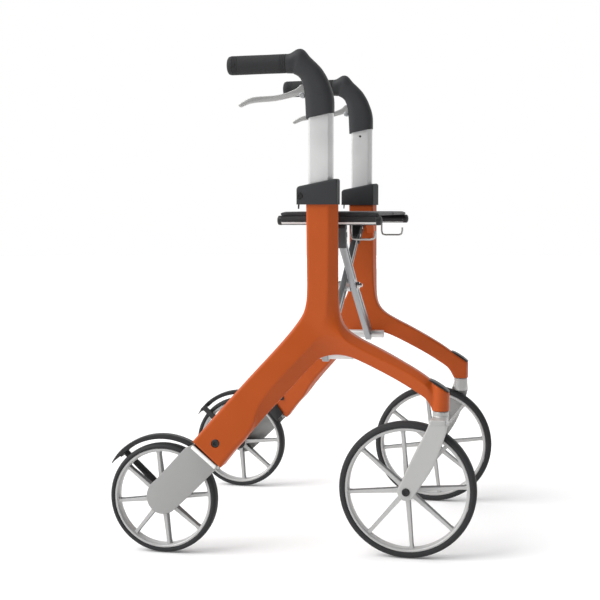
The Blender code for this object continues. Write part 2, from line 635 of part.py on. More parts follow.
def cross_bar(x):
    outline = bar_outline(BAR_HALF_WIDTH, RAIL_REACH - RAIL_R - 0.0008)
    body = prism_x(outline, x - BAR_DEPTH / 2, x + BAR_DEPTH / 2)
    eye_hole = lathe([(-0.02, PIVOT_TUBE_R + 0.0003), (0.02, PIVOT_TUBE_R + 0.0003)], "x",
                     (x, -PIVOT_Y, PIVOT_Z), 16, pi / 16)
    centre_hole = lathe([(-0.02, 0.0044), (0.02, 0.0044)], "x", (x, 0.0, CROSS_Z), 12)
    return cut(body, eye_hole, centre_hole)


def bar_bracket(x, top_x):
    """Tapered clamp that joins a bar's upper end to its rail, spread along the rail about top_x."""
    rings = []
    ends = ((x, RAIL_REACH - 0.0780, 0.0085, 0.0125), (top_x, RAIL_REACH, 0.0175, 0.0135))
    for mid, reach, wide, deep in ends:
        rings.append([(mid + s * wide, *toward_rail(reach, t * deep))
                      for s, t in ((-1, -1), (1, -1), (1, 1), (-1, 1))])
    body = loft(rings)
    slot = prism_x([toward_rail(RAIL_REACH - 0.0900, -BAR_HALF_WIDTH - GAP),
                    toward_rail(RAIL_REACH - RAIL_R, -BAR_HALF_WIDTH - GAP),
                    toward_rail(RAIL_REACH - RAIL_R, BAR_HALF_WIDTH + GAP),
                    toward_rail(RAIL_REACH - 0.0900, BAR_HALF_WIDTH + GAP)],
                   x - BAR_DEPTH / 2 - GAP, x + BAR_DEPTH / 2 + GAP)
    rail = lathe([(-0.03, RAIL_R + 0.0004), (0.03, RAIL_R + 0.0004)], "x", (x, RAIL_Y, RAIL_Z), 16, pi / 16)
    above = box((0.0, 0.100, RAIL_Z + 0.0035), (0.150, 0.250, RAIL_Z + 0.060))
    # room on the outer side for the seat panel, which swings round the rail as the walker folds
    swing = [(RAIL_Y - 0.040 * cos(radians(a)), RAIL_Z + 0.040 * sin(radians(a)))
             for a in (90, 130, 175, 220, 262)]
    outside = prism_x([(RAIL_Y, RAIL_Z), *swing], 0.0, 0.150)
    return cut(body, above, outside, slot, rail)


def cross_pivot():
    back, front = BAR_B_X - BAR_DEPTH / 2, BAR_A_X + BAR_DEPTH / 2
    inner0, inner1 = BAR_B_X + BAR_DEPTH / 2 + GAP, BAR_A_X - BAR_DEPTH / 2 - GAP
    profile = [(back - 0.0060, 0.0080), (back - GAP, 0.0080), (back - GAP, 0.0040), (inner0, 0.0040),
               (inner0, 0.0130), (inner1, 0.0130), (inner1, 0.0040), (front + GAP, 0.0040),
               (front + GAP, 0.0075), (front + 0.0060, 0.0075), (front + 0.0060, 0.0040),
               (front + 0.0115, 0.0040)]
    return lathe(profile, "x", (0.0, 0.0, CROSS_Z), 12)


def seat_rail():
    steps = [(RAIL_BACK, RAIL_R - 0.0015), (RAIL_BACK + 0.0020, RAIL_R), (RAIL_FRONT - 0.0020, RAIL_R),
             (RAIL_FRONT, RAIL_R - 0.0015)]
    return lathe(steps, "x", (0.0, RAIL_Y, RAIL_Z), 16, pi / 16)


def basket_hook():
    y, top = RAIL_Y, RAIL_Z - RAIL_R - GAP
    return wire([(0.1020, y, top), (0.1024, y, 0.5900), (0.1060, y, 0.5865), (0.1430, y, 0.5865),
                 (0.1466, y, 0.5900), (0.1470, y, 0.6030)], 0.0024, 8)


def seat_rest(x0, x1):
    """Ledge on the column's inner face that takes the rail's weight when the walker is open."""
    inner = FRAME_Y - HALF - GAP
    outline = [(inner, 0.5900), (inner, RAIL_Z - RAIL_R - GAP), (RAIL_Y - 0.0070, RAIL_Z - RAIL_R - GAP),
               (RAIL_Y - 0.0070, RAIL_Z - RAIL_R - 0.0045), (inner - 0.0060, 0.5900)]
    return prism_x(outline, x0, x1)


def seat_panel():
    return box((SEAT_BACK, RAIL_Y - PANEL_REACH, RAIL_Z + SEAT_UNDER),
               (SEAT_FRONT, RAIL_Y + 0.0050, RAIL_Z + SEAT_TOP))


def seat_flap():
    return box((SEAT_BACK, 0.0005, RAIL_Z + SEAT_UNDER),
               (SEAT_FRONT, RAIL_Y - PANEL_REACH - GAP, RAIL_Z + SEAT_TOP))


def build():
    for obj in list(bpy.data.objects):
        bpy.data.objects.remove(obj)
    front, rear = (FRONT_X, FRONT_Y, FRONT_R), (REAR_X, REAR_Y, REAR_R)
    stem, hinge = (HEAD_X, HEAD_Y, HEAD_BOTTOM), (BAR_B_X, PIVOT_Y, PIVOT_Z)
    lever, latch = (LEVER_PIVOT[0], FRAME_Y, LEVER_PIVOT[1]), (LATCH_PIVOT[0], FRAME_Y, LATCH_PIVOT[1])
    rail = (0.0, RAIL_Y, RAIL_Z)
    shared = (
        ("side_frame", side_frame(), "orange", hinge, False),
        ("column_collar", column_collar(), "dark_plastic", hinge, False),
        ("height_latch", height_latch(), "dark_plastic", latch, False),
        ("handle_tube", tube_block(TUBE_BOTTOM, TUBE_TOP), "aluminium", hinge, False),
        ("handle_neck", handle_neck(), "dark_plastic", hinge, True),
        ("grip", grip(), "grip_rubber", hinge, True),
        ("brake_lever", brake_lever(), "aluminium", lever, False),
        ("lever_pin", lever_pin(), "steel", lever, True),
        ("pivot_tube", pivot_tube(), "aluminium", hinge, True),
        ("rear_bracket", rear_bracket(), "satin_silver", hinge, False),
        ("bracket_bolt", bracket_bolt(), "dark_plastic", hinge, True),
        ("kerb_climber", kerb_climber(), "dark_plastic", hinge, False),
        ("rear_tyre", tyre(REAR_X, REAR_Y, REAR_R), "tyre", rear, True),
        ("rear_rim", rim(REAR_X, REAR_Y, REAR_R, 0.0140, 0.0125), "satin_silver", rear, True),
        ("rear_axle", rear_axle(), "dark_plastic", rear, True),
        ("brake_shoe", brake_shoe(), "dark_plastic", hinge, False),
        ("caster_fork", caster_fork(), "satin_silver", stem, True),
        ("caster_cap", caster_cap(), "dark_plastic", hinge, False),
        ("front_tyre", tyre(FRONT_X, FRONT_Y, FRONT_R), "tyre", front, True),
        ("front_rim", rim(FRONT_X, FRONT_Y, FRONT_R, 0.0165, 0.0150), "satin_silver", front, True),
        ("front_axle", front_axle(), "dark_plastic", front, True),
        ("seat_rail", seat_rail(), "aluminium", rail, True),
        ("basket_hook", basket_hook(), "steel", rail, True),
        ("seat_panel", seat_panel(), "fabric", rail, False),
        ("seat_flap", seat_flap(), "fabric", rail, False),
    )
    for name, mesh, paint, pivot, smooth in shared:
        for word, side in SIDES:
            place(f"{word}_{name}", mesh, paint, side, pivot, smooth)
    # each bar starts at one side's pivot tube and ends at the other side's rail
    place("cross_bar_a", cross_bar(BAR_A_X), "aluminium", RIGHT, (BAR_A_X, -PIVOT_Y, PIVOT_Z))
    place("cross_bar_b", cross_bar(BAR_B_X), "aluminium", LEFT, (BAR_B_X, -PIVOT_Y, PIVOT_Z))
    place("bar_bracket_a", bar_bracket(BAR_A_X, BAR_A_X), "dark_plastic", RIGHT, (BAR_A_X, 0.0, CROSS_Z))
    place("bar_bracket_b", bar_bracket(BAR_B_X, BAR_B_X - 0.0070), "dark_plastic", LEFT,
          (BAR_B_X, 0.0, CROSS_Z))
    place("cross_pivot", cross_pivot(), "steel", LEFT, (0.0, 0.0, CROSS_Z), True)
    place("right_seat_rest", seat_rest(0.0310, 0.0500), "dark_plastic", RIGHT)
    place("left_seat_rest", seat_rest(0.0680, 0.0840), "dark_plastic", LEFT)


build()
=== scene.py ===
from math import atan2, cos, pi, radians, sin, sqrt, tan

import bmesh
import bpy
import numpy as np
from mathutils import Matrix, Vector
from mathutils.bvhtree import BVHTree


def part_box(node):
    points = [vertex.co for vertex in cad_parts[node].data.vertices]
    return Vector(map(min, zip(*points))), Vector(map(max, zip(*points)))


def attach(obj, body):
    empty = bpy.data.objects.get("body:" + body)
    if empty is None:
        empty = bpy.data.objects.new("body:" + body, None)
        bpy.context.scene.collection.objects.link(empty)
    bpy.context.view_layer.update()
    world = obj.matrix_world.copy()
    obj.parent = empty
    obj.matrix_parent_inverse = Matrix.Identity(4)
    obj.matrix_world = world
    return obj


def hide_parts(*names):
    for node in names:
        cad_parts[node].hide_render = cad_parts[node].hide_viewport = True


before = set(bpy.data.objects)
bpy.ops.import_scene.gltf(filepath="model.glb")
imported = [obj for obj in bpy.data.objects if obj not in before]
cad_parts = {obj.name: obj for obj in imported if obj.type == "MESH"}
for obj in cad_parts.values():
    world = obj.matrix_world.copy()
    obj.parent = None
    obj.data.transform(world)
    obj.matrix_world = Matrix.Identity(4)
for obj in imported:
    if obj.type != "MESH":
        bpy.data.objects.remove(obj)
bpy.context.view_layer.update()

scene = bpy.context.scene


# ---------------------------------------------------------------- camera, floor and light


def camera():
    turn, tilt = radians(12.05), radians(4.32)
    ahead = Vector((-sin(turn) * cos(tilt), cos(turn) * cos(tilt), -sin(tilt)))
    data = bpy.data.cameras.new("camera")
    data.lens, data.sensor_width = 73.7, 36.0
    made = new_object("camera", data)
    made.location = (0.4864, -2.4542, 0.6461)
    made.rotation_euler = ahead.to_track_quat("-Z", "Y").to_euler()
    scene.camera = made


def stage():
    """Pale floor, white surroundings that are dimmer on the walker's front side, and soft lights."""
    bm = bmesh.new()
    bmesh.ops.create_circle(bm, cap_ends=True, segments=64, radius=14.0)
    floor = object_from(bm, "floor")
    floor.location = (0.0, 0.0, -0.0002)
    paint, nodes, links, shader = blank("floor")
    grain = noise(nodes, links, 3.0, 2.0)
    tint = ramp(nodes, links, grain, ((0.3, (0.87, 0.87, 0.87)), (0.7, (0.89, 0.89, 0.89))))
    links.new(tint, shader.inputs["Base Color"])
    shader.inputs["Roughness"].default_value = 0.9
    shader.inputs["Specular IOR Level"].default_value = 0.2
    # a light table: the paper glows a little, which keeps the shadows faint
    shader.inputs["Emission Color"].default_value = (1.0, 1.0, 1.0, 1.0)
    shader.inputs["Emission Strength"].default_value = 0.1
    floor.data.materials.append(paint)
    world = bpy.data.worlds.new("surroundings")
    scene.world = world
    world.use_nodes = True
    nodes, links = world.node_tree.nodes, world.node_tree.links
    where = nodes.new("ShaderNodeTexCoord")
    dot = nodes.new("ShaderNodeVectorMath")
    dot.operation = "DOT_PRODUCT"
    dot.inputs[1].default_value = Vector((0.68, -0.73, 0.0)).normalized()
    links.new(where.outputs["Generated"], dot.inputs[0])
    tone = ramp(nodes, links, dot.outputs["Value"], ((0.1, (1.0, 1.0, 1.0)), (0.75, (0.12, 0.12, 0.125))))
    # the backdrop itself is seen as white from every side
    rays = nodes.new("ShaderNodeLightPath")
    seen = nodes.new("ShaderNodeMix")
    seen.data_type = "RGBA"
    links.new(rays.outputs["Is Camera Ray"], seen.inputs[0])
    links.new(tone, seen.inputs[6])
    seen.inputs[7].default_value = (1.0, 1.0, 1.0, 1.0)
    links.new(seen.outputs[2], nodes["Background"].inputs["Color"])
    nodes["Background"].inputs["Strength"].default_value = 1.0
    sun = bpy.data.lights.new("soft sun", "SUN")
    sun.energy, sun.angle = 2.6, radians(50.0)
    made = new_object("soft sun", sun)
    made.rotation_euler = Vector((0.72, 0.4, -0.75)).to_track_quat("-Z", "Y").to_euler()


# ---------------------------------------------------------------- materials


def blank(name):
    made = bpy.data.materials.new(name)
    made.use_nodes = True
    tree = made.node_tree
    return made, tree.nodes, tree.links, tree.nodes["Principled BSDF"]


def noise(nodes, links, scale, detail=3.0, stretch=(1.0, 1.0, 1.0)):
    where = nodes.new("ShaderNodeTexCoord")
    sized = nodes.new("ShaderNodeMapping")
    sized.inputs["Scale"].default_value = stretch
    made = nodes.new("ShaderNodeTexNoise")
    made.inputs["Scale"].default_value = scale
    made.inputs["Detail"].default_value = detail
    links.new(where.outputs["Object"], sized.inputs["Vector"])
    links.new(sized.outputs["Vector"], made.inputs["Vector"])
    return made.outputs["Fac"]


def ramp(nodes, links, source, stops):
    made = nodes.new("ShaderNodeValToRGB")
    ends = made.color_ramp.elements
    while len(ends) < len(stops):
        ends.new(0.5)
    for end, (place, colour) in zip(ends, stops):
        end.position = place
        end.color = (*colour, 1.0) if isinstance(colour, tuple) else (colour, colour, colour, 1.0)
    links.new(source, made.inputs[0])
    return made.outputs["Color"]


def shaded(colour, share):
    return tuple(c * share for c in colour)


def calculate(nodes, links, operation, *values):
    """A Math node; each value is a number or another node's output."""
    made = nodes.new("ShaderNodeMath")
    made.operation = operation
    for socket, value in zip(made.inputs, values):
        if isinstance(value, float):
            socket.default_value = value
        else:
            links.new(value, socket)
    return made.outputs[0]


def dress(parts, tint, gloss, height, bump, depth, values):
    """Gives a surface its colour, gloss and relief, and sets the shader's plain values."""
    paint, nodes, links, shader = parts
    links.new(tint, shader.inputs["Base Color"])
    links.new(gloss, shader.inputs["Roughness"])
    for name, value in values.items():
        shader.inputs[name].default_value = value
    relief = nodes.new("ShaderNodeBump")
    relief.inputs["Strength"].default_value = bump
    relief.inputs["Distance"].default_value = depth
    links.new(height, relief.inputs["Height"])
    links.new(relief.outputs["Normal"], shader.inputs["Normal"])
    return paint


DRIFT_SCALE, GLOSS_SPREAD = 18.0, 0.06


def finish(name, colour, rough, metal=0.0, grain=900.0, bump=0.02, streak=(1.0, 1.0, 1.0), spread=0.06,
           specular=0.5):
    """A surface with fine grain, slow colour drift and uneven gloss, and colour as its average."""
    parts = blank(name)
    _, nodes, links, _ = parts
    drift = noise(nodes, links, DRIFT_SCALE, 4.0)
    fine = noise(nodes, links, grain, 2.0, streak)
    both = calculate(nodes, links, "MULTIPLY_ADD", fine, 0.35,
                     calculate(nodes, links, "MULTIPLY", drift, 0.65))
    tint = ramp(nodes, links, both, ((0.3, shaded(colour, 1 - spread)), (0.7, shaded(colour, 1 + spread))))
    gloss = ramp(nodes, links, drift, ((0.3, rough - GLOSS_SPREAD), (0.7, rough + GLOSS_SPREAD)))
    return dress(parts, tint, gloss, fine, bump, 0.001, {"Metallic": metal, "Specular IOR Level": specular})


def weave(name, colour, thread=0.0011, bump=0.5):
    """Woven cloth: two crossed sets of threads, with a soft sheen."""
    parts = blank(name)
    _, nodes, links, _ = parts
    where = nodes.new("ShaderNodeTexCoord")
    threads = []
    for axis in ("X", "Y"):
        wave = nodes.new("ShaderNodeTexWave")
        wave.bands_direction = axis
        for key, value in (("Scale", 0.314 / thread), ("Distortion", 0.6), ("Detail", 1.0),
                           ("Detail Scale", 2.0)):
            wave.inputs[key].default_value = value
        links.new(where.outputs["Object"], wave.inputs["Vector"])
        threads.append(wave.outputs["Fac"])
    cross = calculate(nodes, links, "MULTIPLY", *threads)
    drift = noise(nodes, links, 30.0, 4.0)
    both = calculate(nodes, links, "MULTIPLY_ADD", cross, 0.5, drift)
    tint = ramp(nodes, links, both, ((0.35, shaded(colour, 0.55)), (0.95, shaded(colour, 1.7))))
    gloss = ramp(nodes, links, drift, ((0.3, 0.82), (0.7, 0.94)))
    return dress(parts, tint, gloss, cross, bump, 0.0004, {"Sheen Weight": 0.25, "Sheen Roughness": 0.4})


ORANGE = finish("satin orange paint", (0.43, 0.074, 0.009), 0.44, grain=2600.0, bump=0.035, spread=0.05,
                specular=0.24)
PLASTIC = finish("dark moulded plastic", (0.03, 0.031, 0.033), 0.58, grain=3200.0, bump=0.1, spread=0.1,
                 specular=0.28)
BLACK = finish("black plastic", (0.012, 0.012, 0.013), 0.46, grain=2600.0, bump=0.06, spread=0.12,
               specular=0.4)
RUBBER = finish("grip rubber", (0.0265, 0.027, 0.0285), 0.72, grain=1500.0, bump=0.28, spread=0.14,
                specular=0.25)
TYRE = finish("tyre rubber", (0.026, 0.0265, 0.028), 0.7, grain=1100.0, bump=0.16, spread=0.16, specular=0.3)
TUBE = finish("anodised aluminium tube", (0.66, 0.66, 0.655), 0.4, 0.55, grain=300.0, bump=0.03,
              streak=(9.0, 9.0, 0.12), spread=0.04)
BAR = finish("brushed aluminium bar", (0.34, 0.35, 0.36), 0.4, 0.8, grain=420.0, bump=0.05,
             streak=(9.0, 0.25, 0.25), spread=0.07)
# a darker copy of the bar metal for the grooves' floors: painted shade
BAR_GROOVE_SHADE = finish("bar groove painted shade", (0.17, 0.175, 0.18), 0.55, 0.5, grain=900.0, bump=0.05, spread=0.1)
CAST = finish("satin cast silver", (0.44, 0.44, 0.43), 0.42, 0.4, grain=2400.0, bump=0.05, spread=0.035)
PLATE = finish("satin silver plate", (0.33, 0.33, 0.325), 0.45, 0.45, grain=2600.0, bump=0.05, spread=0.03)
# a near-white finish that stands for the highlight along the bracket plate's bent top edge: a painted
# highlight
PLATE_LIP_HIGHLIGHT = finish("plate lip painted highlight", (0.86, 0.86, 0.85), 0.35, 0.1, grain=2600.0, bump=0.03, spread=0.02)
RIM = finish("silver rim", (0.46, 0.46, 0.455), 0.38, 0.3, grain=2200.0, bump=0.05, spread=0.04)
# a darker copy of the rim silver, laid on the spokes' flanks by face direction as painted shade
RIM_FLANK_SHADE = finish("rim flank painted shade", (0.11, 0.112, 0.115), 0.45, 0.4, grain=2200.0, bump=0.05, spread=0.05)
STEEL = finish("zinc plated steel", (0.6, 0.6, 0.59), 0.3, 1.0, grain=1300.0, bump=0.05, spread=0.08)
LEVER = finish("polished lever alloy", (0.35, 0.35, 0.345), 0.36, 0.6, grain=1800.0, bump=0.02, spread=0.03)
WIRE = finish("plated steel wire", (0.4, 0.4, 0.39), 0.3, 1.0, grain=1300.0, bump=0.04, spread=0.06)
CLOTH = weave("black seat cloth", (0.02, 0.02, 0.022))
BINDING = weave("seat binding", (0.02, 0.02, 0.021), thread=0.0007, bump=0.35)
THREAD = finish("seat thread", (0.05, 0.05, 0.055), 0.7, grain=3000.0, bump=0.2, spread=0.2)


# ---------------------------------------------------------------- shapes


def new_object(name, mesh):
    made = bpy.data.objects.new(name, mesh)
    scene.collection.objects.link(made)
    return made


def opened(obj):
    bm = bmesh.new()
    bm.from_mesh(obj.data)
    return bm


def closed(bm, mesh):
    bm.to_mesh(mesh)
    bm.free()


def object_from(bm, name):
    mesh = bpy.data.meshes.new(name)
    closed(bm, mesh)
    return new_object(name, mesh)


def shape(points, faces):
    """An object from corners and faces, turned to face out."""
    bm = bmesh.new()
    corners = [bm.verts.new(p) for p in points]
    for face in faces:
        bm.faces.new([corners[i] for i in face])
    bmesh.ops.recalc_face_normals(bm, faces=bm.faces)
    if bm.calc_volume(signed=True) < 0:
        bmesh.ops.reverse_faces(bm, faces=bm.faces)
    return object_from(bm, "shape")


def loft(rings, ring_closed=False):
    """Rings of equal length joined in turn, closed at both ends, or joined end to start with ring_closed."""
    count = len(rings[0])
    points = [p for ring in rings for p in ring]
    faces = [] if ring_closed else [list(range(count)), list(range(len(points) - count, len(points)))]
    for row in range(len(rings) if ring_closed else len(rings) - 1):
        here, after = row * count, (row + 1) % len(rings) * count
        for i in range(count):
            j = (i + 1) % count
            faces.append([here + i, here + j, after + j, after + i])
    return shape(points, faces)


def prism(outline, along, low, high):
    """An outline pushed along an axis: (x, z) corners along y, (y, z) along x, or (x, y) along z."""
    place = {"y": lambda p, d: (p[0], d, p[1]), "x": lambda p, d: (d, p[0], p[1]),
             "z": lambda p, d: (p[0], p[1], d)}[along]
    return loft([[place(p, d) for p in outline] for d in (low, high)])


def lathe(profile, along, centre, count=48, hollow=False):
    """A solid of revolution from (distance along the axis, radius) rows, in a closed loop if it is hollow."""
    rings = []
    for i in range(count):
        c, s = cos(2 * pi * i / count), sin(2 * pi * i / count)
        place = {"y": lambda d, r: (centre[0] + r * c, centre[1] + d, centre[2] + r * s),
                 "x": lambda d, r: (centre[0] + d, centre[1] + r * c, centre[2] + r * s),
                 "z": lambda d, r: (centre[0] + r * c, centre[1] + r * s, centre[2] + d)}[along]
        rings.append([place(d, r) for d, r in profile])
    if hollow:
        return loft(rings, True)
    size = len(profile)
    points = [p for ring in rings for p in ring]
    faces = [[i * size for i in range(count)], [i * size + size - 1 for i in range(count)]]
    for row in range(count):
        here, after = row * size, (row + 1) % count * size
        faces += [[here + i, here + i + 1, after + i + 1, after + i] for i in range(size - 1)]
    return shape(points, faces)


def rod(low, high, radius, along, centre, count=24):
    return lathe([(low, radius), (high, radius)], along, centre, count)


def around(count, shift=0.0):
    """Evenly spaced angles of a whole turn."""
    return [2 * pi * (i + shift) / count for i in range(count)]


def rounded(outline, radius, steps=4):
    """A closed outline with its corners rounded."""
    done = []
    for i, p in enumerate(outline):
        here, before, after = Vector(p), Vector(outline[i - 1]), Vector(outline[(i + 1) % len(outline)])
        to_before, to_after = (before - here), (after - here)
        bend = pi - to_before.angle(to_after, pi)
        if bend < 0.02:
            done.append(tuple(here))
            continue
        reach = min(radius * tan(bend / 2), 0.48 * to_before.length, 0.48 * to_after.length)
        start, end = here + to_before.normalized() * reach, here + to_after.normalized() * reach
        for k in range(steps + 1):
            t = k / steps
            done.append(tuple((1 - t) ** 2 * start + 2 * t * (1 - t) * here + t * t * end))
    return done


def curve_through(points, steps, sharp=()):
    """More points along a smooth curve through rows of numbers, with a corner at each index in sharp."""
    rows = [Vector(p) for p in points]
    done = []
    for i, (a, b) in enumerate(zip(rows, rows[1:])):
        before = rows[i - 1] if i > 0 and i not in sharp else a * 2 - b
        after = rows[i + 2] if i + 2 < len(rows) and i + 1 not in sharp else b * 2 - a
        for k in range(steps):
            t = k / steps
            done.append(0.5 * ((2 * a) + (b - before) * t + (2 * before - 5 * a + 4 * b - after) * t * t
                               + (3 * a - before - 3 * b + after) * t ** 3))
    return [tuple(p) for p in done + rows[-1:]]


def apply(obj, kind, **settings):
    step = obj.modifiers.new("step", kind)
    for key, value in settings.items():
        setattr(step, key, value)
    bpy.context.view_layer.update()
    made = bpy.data.meshes.new_from_object(obj.evaluated_get(bpy.context.evaluated_depsgraph_get()))
    obj.modifiers.clear()
    obj.data = made
    return obj


def bevel(obj, width, segments=3, angle=25.0):
    return apply(obj, "BEVEL", width=width, segments=segments, limit_method="ANGLE",
                 angle_limit=radians(angle))


def combine(first, second, how="UNION"):
    apply(first, "BOOLEAN", operation=how, solver="EXACT", object=second)
    bpy.data.objects.remove(second)
    return first


def cut(obj, *tools):
    for tool in tools:
        combine(obj, tool, "DIFFERENCE")
    return obj


def merge(*parts):
    """Several objects as one mesh, without a Boolean."""
    bm = bmesh.new()
    for part in parts:
        bm.from_mesh(part.data)
    for part in parts:
        bpy.data.objects.remove(part)
    return object_from(bm, "merged")


def melt(obj, voxel, passes):
    """One soft cast body from overlapping ones: a voxel remesh, then smoothing."""
    apply(obj, "REMESH", mode="VOXEL", voxel_size=voxel)
    return apply(obj, "SMOOTH", factor=0.5, iterations=passes)


def cad_copy(node):
    """A CAD node's mesh as a new object, with its flat faces whole again."""
    bm = opened(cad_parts[node])
    bmesh.ops.remove_doubles(bm, verts=bm.verts, dist=1e-6)
    bmesh.ops.dissolve_limit(bm, angle_limit=radians(1.0), verts=bm.verts, edges=bm.edges)
    return object_from(bm, "copy")


def tube_along(points, radius, count):
    """A round rod along a smooth line, with flat ends."""
    rows = [Vector(p) for p in points]
    rings = []
    side = None
    for i, here in enumerate(rows):
        ahead = (rows[min(i + 1, len(rows) - 1)] - rows[max(i - 1, 0)]).normalized()
        if side is None:
            side = ahead.orthogonal().normalized()
        side = (side - ahead * side.dot(ahead)).normalized()
        up = ahead.cross(side)
        rings.append([tuple(here + side * (radius * cos(2 * pi * k / count))
                            + up * (radius * sin(2 * pi * k / count))) for k in range(count)])
    return loft(rings)


def piece(obj, name, body, paint, nodes=(), sharp=32.0):
    """Names, paints and shades a finished shape, parents it to the body it moves with, and hides the CAD
    nodes it stands for.
    """
    obj.name = obj.data.name = name
    obj.data.materials.clear()
    obj.data.materials.append(paint)
    obj.data.shade_smooth()
    obj.data.set_sharp_from_angle(angle=radians(sharp))
    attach(obj, body)
    if nodes:
        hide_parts(*nodes)
    return obj


SIDES = ("right", "left")


def mirrored(obj):
    bm = opened(obj)
    for corner in bm.verts:
        corner.co.y = -corner.co.y
    bmesh.ops.reverse_faces(bm, faces=bm.faces)
    return object_from(bm, "mirrored")


def flipped(obj):
    """The mirrored shape instead of the given one."""
    made = mirrored(obj)
    bpy.data.objects.remove(obj)
    return made


def pair(obj, name, body, paint, node=None, sharp=32.0):
    """A shape drawn on the left (+Y) as the left and the right piece; body has {} for the side's name."""
    made = {"right": mirrored(obj), "left": obj}
    for word in SIDES:
        nodes = [f"{word}_{node}"] if node else []
        piece(made[word], f"{word}_{name}", body.format(word), paint, nodes, sharp)
    return made


def middle(node):
    low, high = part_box(node)
    return (low + high) / 2


# ---------------------------------------------------------------- places, from the CAD nodes' boxes

FRONT_HUB, REAR_HUB = middle("left_front_tyre"), middle("left_rear_tyre")
FRONT_R, REAR_R = FRONT_HUB.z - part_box("left_front_tyre")[0].z, REAR_HUB.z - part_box("left_rear_tyre")[0].z
TUBE_LOW, TUBE_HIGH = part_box("left_handle_tube")
FRAME_Y = (TUBE_LOW.y + TUBE_HIGH.y) / 2
HALF = 0.02
COLLAR_LOW, COLLAR_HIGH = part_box("left_column_collar")
GRIP_LOW, GRIP_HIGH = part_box("left_grip")
GRIP_RISE = radians(0.9)
RAIL = middle("left_seat_rail")
RAIL_LOW, RAIL_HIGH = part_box("left_seat_rail")
RAIL_R = RAIL_HIGH.y - RAIL.y
HEAD_X, HEAD_Y, HEAD_R, HEAD_BOTTOM = 0.2738, 0.2265, 0.0158, 0.2735
HEAD_END = HEAD_BOTTOM + 0.0024
COLUMN_TOP = 0.6775
LEG_END, LEG_SLOPE, SPLAY = (-0.1529, 0.1888), radians(50.4), 0.16
AXLE_R = 0.005
AXLE_HOLE = AXLE_R + 0.0003
BOLT_HOLE = 0.0034
SLIDE_GAP = 0.0004
# the handle's travel and a millimetre below it
POCKET_DEPTH = 0.116
LATCH_X, LATCH_Z = 0.0167, 0.6665
LEVER_X, LEVER_Z = 0.0255, 0.858
# the caster head's top slopes down to the front from here
HEAD_TOP_X, HEAD_TOP_SLOPE = 0.2545, 0.609


def grip_z(x):
    """Height of the grip's axis, which rises a little towards the neck."""
    return (GRIP_LOW.z + GRIP_HIGH.z) / 2 + tan(GRIP_RISE) * (x - (GRIP_LOW.x + GRIP_HIGH.x) / 2)


def leg_point(up, across):
    u, n = (cos(LEG_SLOPE), sin(LEG_SLOPE)), (-sin(LEG_SLOPE), cos(LEG_SLOPE))
    return LEG_END[0] + up * u[0] + across * n[0], LEG_END[1] + up * u[1] + across * n[1]


def middle_y(x, z):
    """The frame's centre plane: straight at the column, out along the rear leg, in along the front leg."""
    along = (x - 0.0167) * -0.686 + (z - 0.4423) * -0.727
    soft = 0.5 * (along + sqrt(along * along + 0.01 ** 2)) - 0.5 * 0.01 * 0.4
    inward = max(0.0, x - 0.1) / (HEAD_X - 0.1) * (FRAME_Y - HEAD_Y)
    return FRAME_Y + SPLAY * max(0.0, soft) - inward


END_Y = middle_y(*LEG_END)
BOLT_XZ = leg_point(0.0291, 0.0)
BOLT_Y = middle_y(*BOLT_XZ)


# ---------------------------------------------------------------- side frame

# silhouette: x, z and how far out of the centre plane its outer edge lies
EDGE = [
    (0.0265, COLUMN_TOP, 0.0165), (0.029, 0.5, 0.0165), (0.0282, 0.476, 0.0165), (0.0234, 0.4542, 0.0165),
    (0.0167, 0.4423, 0.0165), (-0.0012, 0.4165, 0.0165), (-0.0369, 0.3752, 0.0165), (-0.0917, 0.3157, 0.0165),
    (-0.178, 0.2134, 0.0165), (-0.1246, 0.1657, 0.0165), (-0.0968, 0.203, 0.0165), (-0.082, 0.216, 0.015),
    (-0.065, 0.2375, 0.006), (-0.0445, 0.2627, 0.003), (-0.0132, 0.2967, 0.003), (0.0416, 0.3606, 0.004),
    (0.055, 0.3705, 0.005), (0.0811, 0.3762, 0.006), (0.105, 0.3725, 0.007), (0.1238, 0.3655, 0.008),
    (0.162, 0.3474, 0.0085), (0.1988, 0.3284, 0.0085), (0.2355, 0.306, 0.0085), (0.2508, 0.2955, 0.008),
    (0.26, HEAD_BOTTOM, 0.006), (0.288, HEAD_BOTTOM, 0.004), (0.288, 0.3106, 0.004),
    (0.2545, 0.331, 0.004), (0.2368, 0.3449, 0.004), (0.2004, 0.3658, 0.004), (0.1565, 0.3894, 0.004),
    (0.1124, 0.4098, 0.004), (0.0951, 0.4254, 0.004), (0.0873, 0.4429, 0.004), (0.0852, 0.4768, 0.004),
    (0.0852, COLUMN_TOP, 0.004),
]
# the creases of the outer face, and the ridge along the front leg
CREASE = [
    (0.0295, COLUMN_TOP), (0.0318, 0.5), (0.0312, 0.4745), (0.027, 0.4525), (0.02, 0.44),
    (0.0022, 0.4145), (-0.034, 0.373), (-0.0885, 0.3134), (-0.1748, 0.2126), (-0.1262, 0.1694),
    (-0.0985, 0.207), (-0.079, 0.223), (-0.0614, 0.2481), (-0.0597, 0.2873), (0.0, 0.3511),
    (0.0536, 0.4075), (0.0622, 0.4308), (0.0695, 0.4768), (0.0695, COLUMN_TOP),
]
RIDGE = [(0.088, 0.42), (0.1, 0.402), (0.125, 0.389), (0.162, 0.3698), (0.1995, 0.354),
         (0.235, 0.333), (0.26, 0.315)]
# indices where the outlines really have corners
EDGE_CORNERS = {0, 8, 9, 24, 25, 26, 35}
CREASE_CORNERS = {0, 8, 9, 18}


